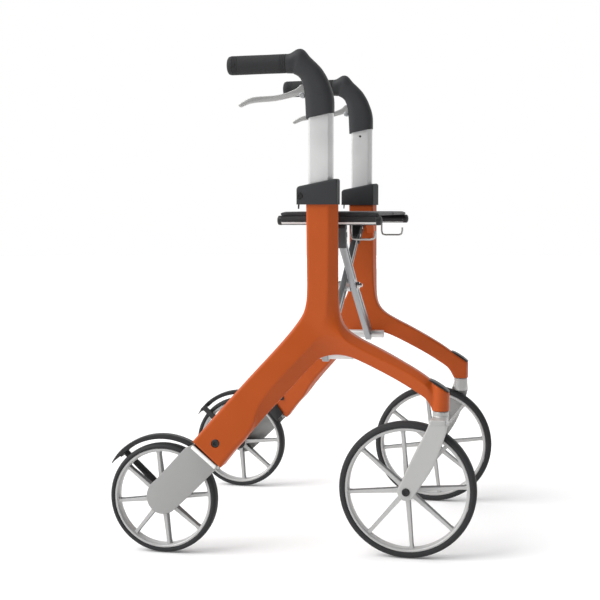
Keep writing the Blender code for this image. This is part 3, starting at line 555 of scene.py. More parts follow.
# the outer face as indices of CREASE, and the inner face as indices of EDGE
OUTER_FACES = (
    (0, 1, 17, 18), (1, 2, 17), (2, 3, 16, 17), (3, 4, 15, 16), (4, 5, 14, 15), (5, 6, 13, 14),
    (6, 7, 12, 13), (7, 11, 12), (7, 8, 10, 11), (8, 9, 10),
)
INNER_FACES = (
    (0, 1, 34, 35), (1, 2, 33, 34), (2, 3, 32, 33), (3, 4, 16, 17, 32), (4, 5, 15, 16), (5, 6, 14, 15),
    (6, 13, 14), (6, 7, 12, 13), (7, 11, 12), (7, 8, 10, 11), (8, 9, 10), (17, 18, 31, 32),
    (18, 19, 30, 31), (19, 20, 30), (20, 21, 29, 30), (21, 22, 28, 29), (22, 23, 27, 28), (23, 24, 27),
    (24, 25, 26, 27),
)


def half_at(x):
    """Half the frame's thickness, which thins towards the caster head."""
    return HALF - 0.0035 * min(1.0, max(0.0, (x - 0.09) / 0.12))


def frame_shell():
    """The flat version of the shell, with its lines creased so that subdivision keeps them as edges."""
    e, c, r = len(EDGE), len(CREASE), len(RIDGE)
    points = [(x, FRAME_Y + d, z) for x, z, d in EDGE]
    points += [(x, FRAME_Y + HALF, z) for x, z in CREASE]
    points += [(x, FRAME_Y + half_at(x), z) for x, z in RIDGE]
    # on the inner side the column's front corner and the rear leg's lower corner are cut back
    for i, (x, z, _) in enumerate(EDGE):
        back = (-0.0055, 0.0) if i in (34, 35) else (-0.0054, 0.0045) if 12 <= i <= 15 else (0.0, 0.0)
        points.append((x + back[0], FRAME_Y - half_at(x), z + back[1]))
    C, R, I = e, e + c, e + c + r
    faces = [[C + i for i in face] for face in OUTER_FACES] + [[I + i for i in face] for face in INNER_FACES]
    faces += [
        [35, C + 18, C + 17, 34], [34, C + 17, C + 16, R, 33], [C + 16, C + 15, R + 1, R],
        [C + 15, 15, 16, R + 1], [R + 1, 16, 17, R + 2], [R + 2, 17, 18, 19, R + 3], [R + 3, 19, 20, R + 4],
        [R + 4, 20, 21, R + 5], [R + 5, 21, 22, 23, R + 6], [R + 6, 23, 24], [R + 6, 24, 25, 26, 27],
        [35, 0, C, C + 18],
    ]
    faces += [[i, i + 1, C + i + 1, C + i] for i in range(15)]
    faces += [[33 - k, 32 - k, R + k + 1, R + k] for k in range(6)]
    faces += [[i, (i + 1) % e, I + (i + 1) % e, I + i] for i in range(e)]
    made = shape(points, faces)
    bm = opened(made)
    bm.verts.ensure_lookup_table()
    edges = bm.edges.layers.float.new("crease_edge")
    corners = bm.verts.layers.float.new("crease_vert")
    lines = [(i, (i + 1) % e) for i in range(e)] + [(I + i, I + (i + 1) % e) for i in range(e)]
    lines += [(C + i, C + (i + 1) % c) for i in range(c)] + [(R + i, R + i + 1) for i in range(r - 1)]
    # the column's top and the rear leg's end are flat
    lines += [(i, I + i) for i in (0, 35, 8, 9)] + [(0, C), (35, C + 18), (8, C + 8), (9, C + 9)]
    for a, b in lines:
        edge = bm.edges.get((bm.verts[a], bm.verts[b]))
        if edge:
            edge[edges] = 1.0
    for i in EDGE_CORNERS:
        bm.verts[i][corners] = bm.verts[I + i][corners] = 1.0
    for i in CREASE_CORNERS:
        bm.verts[C + i][corners] = 1.0
    closed(bm, made.data)
    return apply(made, "SUBSURF", levels=3, render_levels=3, boundary_smooth="PRESERVE_CORNERS")


def leg_block(low, high, width, y0, y1):
    ends = ((low, -width / 2), (high, -width / 2), (high, width / 2), (low, width / 2))
    return prism([leg_point(up, across) for up, across in ends], "y", y0, y1)


def column_block(grow, z0, z1):
    outline = ((0.0265, -0.02), (0.0797, -0.02), (0.0852, 0.0041), (0.0695, 0.02), (0.0295, 0.02),
               (0.0265, 0.0166))
    grown = [(x + (grow if x > 0.05 else -grow), FRAME_Y + y + (grow if y > 0 else -grow)) for x,
             y in outline]
    return prism(grown, "z", z0, z1)


def side_frames():
    low = [(HEAD_X + HEAD_R * cos(a), FRAME_Y - 0.0002 + HEAD_R * sin(a), HEAD_BOTTOM - 0.004)
           for a in around(32)]
    high = [(x, y, 0.3306 - HEAD_TOP_SLOPE * (x - HEAD_TOP_X)) for x, y, _ in low]
    shell = merge(frame_shell(), loft([low, high]))
    melt(shell, 0.0019, 4)
    bm = opened(shell)
    for corner in bm.verts:
        corner.co.y += middle_y(corner.co.x, corner.co.z) - FRAME_Y
    closed(bm, shell.data)
    bolt = (BOLT_XZ[0], BOLT_Y, BOLT_XZ[1])
    stem = (HEAD_X, HEAD_Y, HEAD_BOTTOM)
    cut(shell,
        leg_block(-0.04, 0.0006, 0.12, END_Y - 0.06, END_Y + 0.06),
        prism([(0.24, HEAD_BOTTOM - 0.02), (0.31, HEAD_BOTTOM - 0.02), (0.31, HEAD_END), (0.24, HEAD_END)],
              "y", HEAD_Y - 0.03, HEAD_Y + 0.03),
        rod(-0.01, 0.0295, 0.0064, "z", stem, 24),
        leg_block(-0.02, 0.0404, 0.0308, END_Y - 0.0099, END_Y + 0.0079),
        rod(-0.04, 0.04, BOLT_HOLE, "y", bolt, 24),
        rod(HALF - 0.003, 0.04, 0.0079, "y", bolt, 32),
        tube_shape(TUBE_LOW.z - POCKET_DEPTH, 0.72, SLIDE_GAP))
    pair(shell, "frame_shell", "{}_frame", ORANGE, "side_frame", sharp=48.0)
    gasket = leg_block(-0.0002, 0.0005, 0.059, END_Y - 0.018, END_Y + 0.018)
    pair(gasket, "leg_gasket", "{}_frame", BLACK)


# ---------------------------------------------------------------- handles


def tube_outline(grow=0.0):
    """The handle tube across, as (x, y) corners: a flat oval with wide front corners."""
    x0, x1, w = TUBE_LOW.x - 0.0022 - grow, TUBE_HIGH.x + 0.001 + grow, (TUBE_HIGH.y - TUBE_LOW.y) / 2 + grow
    half = [(x1, 0.005), (x1 - 0.007, w), (x0 + 0.0026, w), (x0, w - 0.003)]
    outline = [(x, FRAME_Y + y) for x, y in half] + [(x, FRAME_Y - y) for x, y in reversed(half)]
    return rounded(outline, 0.003, 3)


def tube_shape(z0, z1, grow=0.0):
    return prism(tube_outline(grow), "z", z0, z1)


def handle_tubes():
    tube = tube_shape(TUBE_LOW.z, TUBE_HIGH.z)
    place = (TUBE_LOW.x + 0.0179, TUBE_LOW.y, 0.8006)
    hole = rod(-0.003, 0.003, 0.0026, "y", place, 20)
    pair(cut(tube, hole), "tube_skin", "{}_handle", TUBE, "handle_tube")
    stop = lathe([(0.0008, 0.0012), (0.001, 0.0024), (0.0032, 0.0024)], "y", place, 20)
    pair(stop, "tube_stop", "{}_handle", BLACK)


# height of the collar's top at its back
COLLAR_BACK_TOP = 0.6835


def collars():
    low, high = COLLAR_LOW, COLLAR_HIGH
    plan = rounded([(low.x, low.y), (0.0808, low.y), (0.082, FRAME_Y - 0.017),
                    (high.x - 0.0012, FRAME_Y + 0.003),
                    (high.x - 0.003, high.y), (low.x, high.y)], 0.0032, 4)
    # a block whose slanting top has rounded ends
    slope = (high.z + 0.003 - COLLAR_BACK_TOP) / (high.x - low.x)
    centre, half, r = (low.x + high.x) / 2, (high.x - low.x) / 2, 0.0052
    rings = [[(x, y, low.z) for x, y in plan]]
    for turn in (0.0, 22.5, 45.0, 67.5, 90.0):
        inset, drop = r * (1 - cos(radians(turn))), r * (1 - sin(radians(turn)))
        ring = []
        for x, y in plan:
            px = centre + (x - centre) * (1 - inset / half)
            py = FRAME_Y + (y - FRAME_Y) * (1 - 0.25 * inset / (high.y - FRAME_Y))
            ring.append((px, py, COLLAR_BACK_TOP + slope * (px - low.x) - drop))
        rings.append(ring)
    body = loft(rings)
    bevel(body, 0.0008, 2, 35.0)
    pocket = prism([(0.005, 0.64), (0.0205, 0.64), (0.0205, 0.6695), (0.005, 0.6695)], "y",
                   FRAME_Y + 0.0025, FRAME_Y + 0.0105)
    pin = rod(-0.019, 0.04, 0.0054, "y", (LATCH_X, FRAME_Y, LATCH_Z), 32)
    dish = rod(high.y - FRAME_Y - 0.0006, 0.03, 0.0066, "y", (LATCH_X, FRAME_Y, LATCH_Z), 32)
    cut(body, column_block(0.0003, 0.64, 0.6783), tube_shape(0.66, 0.72, SLIDE_GAP), pin, pocket, dish)
    pair(body, "collar_shell", "{}_frame", PLASTIC, "column_collar")
    x, z = LATCH_X, LATCH_Z
    pin = lathe([(-0.0186, 0.004), (-0.018, 0.005), (0.0235, 0.005), (0.0242, 0.0044), (0.0242, 0.0024),
                 (0.0232, 0.002)], "y", (x, FRAME_Y, z), 28)
    blade = prism([(0.0103, z + 0.0001), (0.0103, 0.643), (0.0118, 0.643), (0.0126, 0.654),
                   (x + 0.002, z - 0.002), (x, z + 0.0001)], "y", FRAME_Y + 0.003, FRAME_Y + 0.01)
    bevel(blade, 0.0004, 2)
    pair(combine(pin, blade), "latch_skin", "{}_latch", BLACK, "height_latch")


# outer and inner edge of the neck in side view, and its half width, from the tube up and back to the grip
NECK = [
    (0.0758, 0.8171, 0.0244, 0.8071, 0.018), (0.0757, 0.84, 0.023, 0.837, 0.0182),
    (0.0728, 0.856, 0.0214, 0.854, 0.0182), (0.0682, 0.869, 0.0194, 0.866, 0.0181),
    (0.064, 0.879, 0.0163, 0.8748, 0.018), (0.058, 0.8898, 0.0134, 0.88, 0.0179),
    (0.0508, 0.9, 0.0101, 0.8838, 0.0178), (0.0398, 0.9112, 0.0062, 0.8864, 0.0177),
    (0.0313, 0.9193, 0.0036, 0.8878, 0.0176), (0.0222, 0.9302, 0.0012, 0.8888, 0.0174),
    (0.016, 0.9341, 0.0012, 0.8898, 0.017), (0.0088, 0.9341, -0.001, 0.89, 0.0168),
    (0.0015, 0.9304, -0.004, 0.8902, 0.017), (-0.005, 0.9268, -0.0075, 0.8904, 0.0173),
    (-0.0119, 0.9256, -0.0119, 0.8906, 0.0174),
]


def power(value, exponent):
    return (1 if value >= 0 else -1) * abs(value) ** exponent


def necks():
    rings = []
    rows = curve_through(NECK, 4)
    for row, (ox, oz, ix, iz, w) in enumerate(rows):
        cx, cz, hx, hz = (ox + ix) / 2, (oz + iz) / 2, (ox - ix) / 2, (oz - iz) / 2
        # a squarer section by the tube, a round one by the grip
        fullness = 0.62 + 0.3 * min(1.0, row / (len(rows) - 1) * 1.25)
        rings.append([(cx + hx * power(cos(a), fullness), FRAME_Y + w * power(sin(a), fullness),
                       cz + hz * power(cos(a), fullness)) for a in around(36, 0.5)])
    body = loft(rings)
    x, z = LEVER_X, LEVER_Z
    slot = prism([(-0.01, 0.838), (x + 0.004, 0.848), (x + 0.009, z - 0.005), (x + 0.009, z + 0.005),
                  (x + 0.001, 0.88), (-0.01, 0.883)], "y", FRAME_Y - 0.0068, FRAME_Y + 0.0068)
    mark = prism([(0.047, 0.8497), (0.0545, 0.8505), (0.0545, 0.8512), (0.047, 0.8504)], "y",
                 FRAME_Y + 0.0175, FRAME_Y + 0.02)
    cut(body, tube_shape(0.79, 0.8294, SLIDE_GAP), slot, mark)
    pair(body, "neck_shell", "{}_handle", PLASTIC, "handle_neck", sharp=40.0)
    pin = lathe([(-0.0105, 0.0018), (-0.01, 0.0026), (0.01, 0.0026), (0.0105, 0.0018)], "y", (x, FRAME_Y, z),
                20)
    pair(pin, "lever_rivet", "{}_handle", STEEL, "lever_pin")


def grips():
    """Grip with a domed end, fine rings at both ends and a shallow waist line by the neck."""
    start, end, r = GRIP_LOW.x, GRIP_HIGH.x, (GRIP_HIGH.y - GRIP_LOW.y) / 2
    steps = [(0.0, 0.0072), (0.0003, 0.01), (0.0013, 0.0134), (0.0032, 0.016), (0.006, r - 0.0005),
             (0.0085, r)]
    for i in range(4):
        x = 0.011 + 0.003 * i
        steps += [(x, r), (x + 0.0004, r - 0.0005), (x + 0.001, r - 0.0005), (x + 0.0014, r)]
    steps += [(0.04, r), (0.075, r - 0.0002)]
    length = end - start
    for i in range(3):
        x = length - 0.011 + 0.003 * i
        steps += [(x, r), (x + 0.0004, r - 0.0005), (x + 0.001, r - 0.0005), (x + 0.0014, r)]
    steps += [(length - 0.0006, r), (length, r - 0.0006)]
    rings = [[(start + x, FRAME_Y + radius * cos(a), grip_z(start + x) + radius * sin(a))
              for a in around(48)] for x, radius in steps]
    pair(loft(rings), "grip_sleeve", "{}_handle", RUBBER, "grip", sharp=50.0)


def levers():
    x, z = LEVER_X, LEVER_Z
    upper = [(-0.1036, 0.8335), (-0.096, 0.8395), (-0.083, 0.846), (-0.0693, 0.8488), (-0.0372, 0.8502),
             (-0.0157, 0.854), (0.0059, 0.8619), (0.015, 0.8695), (x - 0.002, 0.8672)]
    eye = [(x + 0.0068 * cos(a), z + 0.0068 * sin(a)) for a in (radians(d) for d in (75, 45, 15, -15, -45,
                                                                                     -75))]
    lower = [(0.02, 0.849), (0.0165, 0.847), (0.011, 0.851), (-0.012, 0.8452), (-0.0372, 0.8408),
             (-0.0706, 0.8386), (-0.085, 0.8362), (-0.1, 0.8302)]
    outline = curve_through(upper, 3) + eye
    outline += curve_through(lower, 3, sharp=(1, 2))
    blade = prism(outline, "y", FRAME_Y - 0.0062, FRAME_Y + 0.0062)
    bevel(blade, 0.0012, 3, 40.0)
    trough = prism([(-0.088, 0.8455), (-0.03, 0.85), (0.0, 0.857), (0.0, 0.864), (-0.088, 0.856)],
                   "y", FRAME_Y - 0.0038, FRAME_Y + 0.0038)
    hole = rod(-0.02, 0.02, 0.0029, "y", (x, FRAME_Y, z), 24)
    cut(blade, trough, hole)
    pair(blade, "lever_blade", "{}_lever", LEVER, "brake_lever")
    boss = lathe([(-0.0066, 0.004), (-0.0062, 0.0049), (0.0062, 0.0049), (0.0066, 0.004), (0.0066, 0.002),
                  (0.0058, 0.0015)], "y", (x - 0.0085, FRAME_Y, z - 0.008), 28)
    pair(boss, "lever_boss", "{}_lever", BAR)


# ---------------------------------------------------------------- wheels


def tyre_shape(hub, r, deep):
    """Tyre with a round tread, a shallow groove along each shoulder and square beads."""
    w = 0.0135
    seat = r - deep
    half = [(0.0112, seat), (0.0126, seat + 0.0006), (w, seat + 0.003), (w, seat + deep * 0.42),
            (0.0128, seat + deep * 0.6), (0.0114, seat + deep * 0.77), (0.0106, seat + deep * 0.835),
            (0.01, seat + deep * 0.825), (0.0094, seat + deep * 0.89), (0.007, seat + deep * 0.958),
            (0.0035, seat + deep * 0.993), (0.0, r)]
    profile = half + [(-y, radius) for y, radius in reversed(half[:-1])]
    return lathe(profile, "y", hub, 128, hollow=True)


def rim_shape(hub, r, deep, hub_r, hub_half, turn):
    """Rim ring with two lips, eight bladed spokes that flare at both ends, and a stepped hub."""
    outer = r - deep - 0.0003
    half = [(0.0108, outer), (0.0115, outer - 0.0008), (0.0115, outer - 0.0036), (0.0109, outer - 0.0046),
            (0.0097, outer - 0.005), (0.0091, outer - 0.0042), (0.0084, outer - 0.004),
            (0.0078, outer - 0.0058),
            (0.0066, outer - 0.0064), (0.0, outer - 0.0066)]
    profile = half + [(-y, radius) for y, radius in reversed(half[:-1])]
    ring = lathe(profile, "y", hub, 128, hollow=True)
    spokes = []
    reach = outer - 0.005
    stations = ((hub_r - 0.0025, 0.0058, 0.0092), (hub_r + 0.0012, 0.0046, 0.0088),
                (hub_r + 0.006, 0.004, 0.0085),
                (reach * 0.6, 0.0034, 0.0077), (reach - 0.008, 0.003, 0.0071),
                (reach - 0.0022, 0.0036, 0.0073),
                (reach + 0.0006, 0.0052, 0.0076))
    for i in range(8):
        a = radians(turn) + 2 * pi * i / 8
        u, n = (cos(a), sin(a)), (-sin(a), cos(a))
        rings = []
        for along, wide, depth in stations:
            # a blade with a flat face, small chamfers and a slightly hollow flank
            section = [(wide - 0.0007, depth), (wide, depth - 0.0009), (wide * 0.8, 0.0),
                       (wide, 0.0009 - depth),
                       (wide - 0.0007, -depth)]
            section += [(-s, t) for s, t in reversed(section)]
            rings.append([(hub.x + along * u[0] + s * n[0], hub.y + t, hub.z + along * u[1] + s * n[1])
                          for s, t in section])
        spokes.append(loft(rings))
    h = hub_half
    body = lathe([(-h, AXLE_HOLE), (-h, hub_r - 0.0045), (-h + 0.0012, hub_r - 0.004),
                  (-h + 0.0014, hub_r - 0.0016), (-h + 0.003, hub_r - 0.0002), (-h + 0.0045, hub_r),
                  (h - 0.0045, hub_r), (h - 0.003, hub_r - 0.0002), (h - 0.0014, hub_r - 0.0016),
                  (h - 0.0012, hub_r - 0.004), (h, hub_r - 0.0045), (h, AXLE_HOLE)], "y", hub, 64,
                 hollow=True)
    return merge(ring, body, *spokes)


# how far each wheel happens to be turned
TURNED = {("right", "front"): 4.7, ("left", "front"): 7.5, ("right", "rear"): 6.5, ("left", "rear"): 4.5}


def wheels():
    for word, hub, r, deep, hub_r, hub_half in (("front", FRONT_HUB, FRONT_R, 0.0115, 0.0165, 0.015),
                                                 ("rear", REAR_HUB, REAR_R, 0.009, 0.014, 0.0125)):
        pair(tyre_shape(hub, r, deep), f"{word}_tyre_ring", "{}_" + f"{word}_wheel", TYRE,
             f"{word}_tyre", 40.0)
        for side in SIDES:
            star = rim_shape(hub, r, deep, hub_r, hub_half, TURNED[side, word])
            if side == "right":
                star = flipped(star)
            piece(star, f"{side}_{word}_rim_star", f"{side}_{word}_wheel", RIM,
                  [f"{side}_{word}_rim"], 30.0)
            # the spokes' flanks get a dark copy of the rim silver as painted shade, their faces stay bright
            star.data.materials.append(RIM_FLANK_SHADE)
            for face in star.data.polygons:
                away = sqrt((face.center.x - hub.x) ** 2 + (face.center.z - hub.z) ** 2)
                if abs(face.normal.y) < 0.55 and hub_r < away < r - deep - 0.0072:
                    face.material_index = 1
    axle_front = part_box("left_front_axle")
    h0, h1 = axle_front[0].y - FRONT_HUB.y, axle_front[1].y - FRONT_HUB.y
    axle = lathe([(h0 + 0.0006, 0.003), (h0 + 0.0004, 0.0078), (h0 + 0.001, 0.009), (h0 + 0.0026, 0.009),
                  (h0 + 0.0026, AXLE_R), (h1 - 0.0025, AXLE_R), (h1 - 0.0025, 0.0075), (h1 - 0.0008, 0.0073),
                  (h1, 0.0064), (h1, 0.0042), (h1 - 0.0009, 0.0036), (h1 - 0.0014, 0.0016)], "y", FRONT_HUB,
                 40)
    pair(axle, "front_axle_bolt", "{}_caster", BLACK, "front_axle")
    axle_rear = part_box("left_rear_axle")
    h0, h1 = axle_rear[0].y - REAR_HUB.y, axle_rear[1].y - REAR_HUB.y
    axle = lathe([(h0 + 0.001, 0.002), (h0 + 0.0004, 0.0062), (h0, 0.007), (h0, 0.0079),
                  (h0 + 0.0008, 0.0085),
                  (h0 + 0.0031, 0.0085), (h0 + 0.0031, AXLE_R), (h1, AXLE_R)], "y", REAR_HUB, 40)
    pair(axle, "rear_axle_bolt", "{}_frame", BLACK, "rear_axle")


# ---------------------------------------------------------------- rear bracket, kerb climber, brake

BRACKET = [
    (-0.1895, 0.2028), (-0.2051, 0.1865), (-0.2438, 0.1444), (-0.2596, 0.1285), (-0.2656, 0.115),
    (-0.2663, 0.104), (-0.2628, 0.092), (-0.255, 0.082), (-0.245, 0.0765), (-0.234, 0.075),
    (-0.2225, 0.078), (-0.213, 0.0845), (-0.1832, 0.1125), (-0.1502, 0.1455), (-0.131, 0.165),
]
PLATE_Y0, PLATE_Y1 = 0.298, 0.302


def rear_brackets():
    outline = curve_through(BRACKET, 4)
    outline += [leg_point(-0.0003, -0.03), leg_point(-0.0003, 0.03)]
    plate = prism(outline, "y", PLATE_Y0, PLATE_Y1)
    bevel(plate, 0.0009, 3, 35.0)
    flange = leg_block(-0.0072, -0.0003, 0.06, END_Y - 0.0185, PLATE_Y1 - 0.0001)
    bevel(flange, 0.0012, 3, 35.0)
    tongue = leg_block(-0.004, 0.04, 0.03, END_Y - 0.0095, END_Y + 0.0075)
    hub = (REAR_HUB.x, PLATE_Y0, REAR_HUB.z)
    bolt = (BOLT_XZ[0], BOLT_Y, BOLT_XZ[1])
    combine(plate, flange)
    combine(plate, tongue)
    cut(plate, rod(-0.03, 0.0032, AXLE_HOLE, "y", hub, 24),
        rod(-0.03, 0.03, BOLT_HOLE, "y", bolt, 24))
    pair(plate, "bracket_plate", "{}_frame", PLATE, "rear_bracket")
    # a thin near-white strip laid over the flange's bend: a painted highlight along the plate's top edge
    lip = leg_block(-0.0076, -0.0002, 0.0594, END_Y - 0.01, PLATE_Y1 + 0.0006)
    pair(bevel(lip, 0.0016, 3, 35.0), "bracket_lip_highlight", "{}_frame", PLATE_LIP_HIGHLIGHT)
    socket = [(0.004 * cos(a), 0.004 * sin(a)) for a in around(6)]
    screw = lathe([(-HALF - 0.0036, 0.004), (-HALF - 0.003, 0.0048), (-HALF - 0.0012, 0.0048),
                   (-HALF - 0.0012, 0.003),
                   (HALF - 0.0026, 0.003), (HALF - 0.0026, 0.0075), (HALF - 0.0004, 0.0075),
                   (HALF + 0.0003, 0.0066)],
                  "y", bolt, 32)
    cut(screw, prism([(bolt[0] + a, bolt[2] + b) for a, b in socket], "y", BOLT_Y + HALF - 0.0016,
                     BOLT_Y + HALF + 0.004))
    pair(screw, "leg_screw", "{}_frame", BLACK, "bracket_bolt")


def about_rear(r, angle):
    return REAR_HUB.x + r * cos(radians(angle)), REAR_HUB.z + r * sin(radians(angle))


def kerb_climbers():
    y = REAR_HUB.y
    rings = []
    for i in range(41):
        t = i / 40
        angle = 61 + t * 88.5
        # the bar narrows to a point at its tail
        taper = min(1.0, (1.0 - t) / 0.16)
        inner, outer = 0.1112 + (1 - taper) * 0.0078, 0.1204
        half = 0.009 * (0.35 + 0.65 * taper)
        section = [(inner, -half + 0.0012), (inner + 0.0008, -half), (outer - 0.0018, -half),
                   (outer, -half + 0.0026),
                   (outer + 0.0001, 0.0), (outer, half - 0.0026), (outer - 0.0018, half),
                   (inner + 0.0008, half),
                   (inner, half - 0.0012)]
        rings.append([(about_rear(r, angle)[0], y + d, about_rear(r, angle)[1]) for r, d in section])
    arc = loft(rings)
    corners = ((0.112, 132), (0.119, 132), (0.119, 141), (0.112, 141))
    lug = bevel(prism([about_rear(r, a) for r, a in corners], "y", y - 0.0225, y - 0.005), 0.001, 2)
    u = (cos(radians(136.5)), sin(radians(136.5)))
    n = (-u[1], u[0])
    strut = prism([(REAR_HUB.x + a * u[0] + w * n[0], REAR_HUB.z + a * u[1] + w * n[1])
                   for a, w in ((0.0, -0.007), (0.118, -0.0058), (0.118, 0.0058), (0.0, 0.007))],
                  "y", y - 0.0228, y - 0.0182)
    bevel(strut, 0.0009, 2)
    disc = lathe([(-0.0228, 0.0128), (-0.022, 0.0139), (-0.019, 0.0139), (-0.0182, 0.0128)], "y", REAR_HUB,
                 40)
    combine(arc, lug)
    combine(arc, strut)
    combine(arc, disc)
    cut(arc, rod(-0.04, 0.0, AXLE_HOLE, "y", REAR_HUB, 24))
    pair(arc, "kerb_bow", "{}_frame", BLACK, "kerb_climber")


def brake_shoes():
    shoe = bevel(cad_copy("left_brake_shoe"), 0.0009, 2, 30.0)
    pair(shoe, "shoe_block", "{}_shoe", BLACK, "brake_shoe")


# ---------------------------------------------------------------- casters

FORK = [
    (0.254, 0.254), (0.253, 0.249), (0.2452, 0.232), (0.2345, 0.211), (0.2198, 0.1795), (0.205, 0.145),
    (0.1992, 0.1325), (0.1986, 0.124), (0.2015, 0.117), (0.2075, 0.1124), (0.2142, 0.1112), (0.222, 0.1128),
    (0.228, 0.1175), (0.2315, 0.125), (0.2395, 0.1368), (0.2625, 0.1736), (0.2785, 0.214), (0.287, 0.2421),
    (0.2872, 0.254),
]
FORK_Y0, FORK_Y1 = 0.2456, 0.2556


def caster_forks():
    arm = bevel(prism(curve_through(FORK, 4), "y", FORK_Y0, FORK_Y1), 0.0028, 3, 35.0)
    neck = lathe([(-0.027, 0.012), (-0.0215, 0.0143), (-0.003, 0.0146), (0.0018, 0.0146)], "z",
                 (HEAD_X, HEAD_Y, HEAD_BOTTOM), 40)
    rings = []
    for t in (0.0, 0.25, 0.5, 0.75, 1.0):
        y = HEAD_Y - 0.008 + t * (FORK_Y1 - 0.0014 - HEAD_Y + 0.008)
        x0, x1 = 0.2606 - 0.0056 * t, 0.287
        z0, z1 = 0.2515 - 0.0015 * t, 0.2665 - 0.0052 * t * t
        rings.append([(p[0], y, p[1]) for p in rounded([(x0, z0), (x1, z0), (x1, z1), (x0, z1)], 0.004, 3)])
    body = merge(arm, neck, loft(rings))
    melt(body, 0.0014, 6)
    stem = rod(-0.015, 0.0268, 0.006, "z", (HEAD_X, HEAD_Y, HEAD_BOTTOM), 24)
    top = prism([(0.24, HEAD_END - 0.0006), (0.31, HEAD_END - 0.0006), (0.31, HEAD_BOTTOM + 0.02),
                 (0.24, HEAD_BOTTOM + 0.02)], "y", HEAD_Y - 0.03, HEAD_Y + 0.03)
    cut(body, top, lathe([(-0.03, AXLE_HOLE), (0.03, AXLE_HOLE)], "y",
                         (FRONT_HUB.x, FORK_Y0, FRONT_HUB.z), 24))
    combine(body, stem)
    pair(body, "fork_casting", "{}_caster", CAST, "caster_fork", sharp=45.0)

    def top_line(x, lift):
        return x, 0.331 - HEAD_TOP_SLOPE * (x - HEAD_TOP_X) + lift

    outline = [top_line(0.253, 0.0002), top_line(0.2532, 0.0014), top_line(0.26, 0.0034),
               top_line(0.268, 0.0042),
               top_line(0.278, 0.004), top_line(0.285, 0.0028), top_line(0.2892, 0.0012),
               top_line(0.2892, 0.0002)]
    cap = bevel(prism(outline, "y", HEAD_Y - 0.0125, HEAD_Y + 0.0125), 0.0008, 2, 40.0)
    pair(cap, "head_cap", "{}_frame", BLACK, "caster_cap")


# ---------------------------------------------------------------- folding linkage

CROSS = middle("cross_pivot")
PIVOT_Y, PIVOT_Z = 0.197, 0.37
BAR_DEPTH, BAR_HALF = 0.012, 0.01


def pivot_tubes():
    low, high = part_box("left_pivot_tube")
    r = 0.0085
    tube = lathe([(low.x + 0.0006, 0.005), (low.x, 0.0056), (low.x, r - 0.0005), (low.x + 0.0006, r),
                  (high.x - 0.0006, r), (high.x, r - 0.0005), (high.x, 0.0056), (high.x - 0.0006, 0.005)],
                 "x",
                 (0.0, PIVOT_Y, PIVOT_Z), 40)
    pair(tube, "hinge_tube", "{}_frame", TUBE, "pivot_tube")
    feet = []
    for x in (low.x + 0.001, high.x - 0.0075):
        start, end = PIVOT_Y + 0.006, FRAME_Y - HALF + 0.001
        corners = [(start, PIVOT_Z - 0.006), (end, PIVOT_Z - 0.004), (end, PIVOT_Z + 0.006),
                   (start, PIVOT_Z + 0.006)]
        feet.append(bevel(prism(corners, "x", x, x + 0.006), 0.0008, 2, 35.0))
    pair(merge(*feet), "hinge_feet", "{}_frame", TUBE)


def along_line(angle, reach, width):
    return reach * cos(angle) - width * sin(angle), CROSS.z + reach * sin(angle) + width * cos(angle)


def along_bar(reach, width=0.0):
    return along_line(atan2(CROSS.z - PIVOT_Z, PIVOT_Y), reach, width)


def toward_rail(reach, width=0.0):
    return along_line(atan2(RAIL.z - CROSS.z, RAIL.y), reach, width)


RAIL_REACH = sqrt(RAIL.y ** 2 + (RAIL.z - CROSS.z) ** 2)


def bar_shape(x):
    """The bar that rises to the left: an extrusion with rolled edges and a groove along both faces."""
    top = RAIL_REACH - RAIL_R - 0.0008
    start = atan2(PIVOT_Z - CROSS.z, -PIVOT_Y)
    eye = [(-PIVOT_Y + 0.0135 * cos(start + radians(a)), PIVOT_Z + 0.0135 * sin(start + radians(a)))
           for a in range(-100, 101, 10)]
    outline = eye + [along_bar(-0.002, -BAR_HALF), toward_rail(0.002, -BAR_HALF), toward_rail(top, -BAR_HALF),
                     toward_rail(top, BAR_HALF), toward_rail(0.002, BAR_HALF), along_bar(-0.002, BAR_HALF)]
    body = bevel(prism(outline, "x", x - BAR_DEPTH / 2, x + BAR_DEPTH / 2), 0.0014, 3, 35.0)
    eye_hole = rod(-0.02, 0.02, 0.0088, "x", (x, -PIVOT_Y, PIVOT_Z), 40)
    pin_hole = rod(-0.02, 0.02, 0.0044, "x", (x, 0.0, CROSS.z), 24)
    grooves, groove_shades = [], []
    length = sqrt(PIVOT_Y ** 2 + (CROSS.z - PIVOT_Z) ** 2)
    for maker, low, high in ((along_bar, -length + 0.024, -0.022), (toward_rail, 0.022, top - 0.002)):
        for side in (-1, 1):
            face = x + side * BAR_DEPTH / 2
            ends = [(low, -0.0032), (high, -0.0032), (high, 0.0032), (low, 0.0032)]
            ends = rounded([maker(a, w) for a, w in ends], 0.003, 4)
            grooves.append(prism(ends, "x", face - 0.0016, face + 0.0016))
            # a thin sheet of the darker metal in each groove's floor, as painted shade
            inner = [(low + 0.0002, -0.003), (high - 0.0002, -0.003), (high - 0.0002, 0.003),
                     (low + 0.0002, 0.003)]
            inner = rounded([maker(a, w) for a, w in inner], 0.0028, 4)
            groove_shades.append(prism(inner, "x", face - side * 0.0014, face - side * 0.0008))
    cut(body, eye_hole, pin_hole, *grooves)
    return body, merge(*groove_shades)


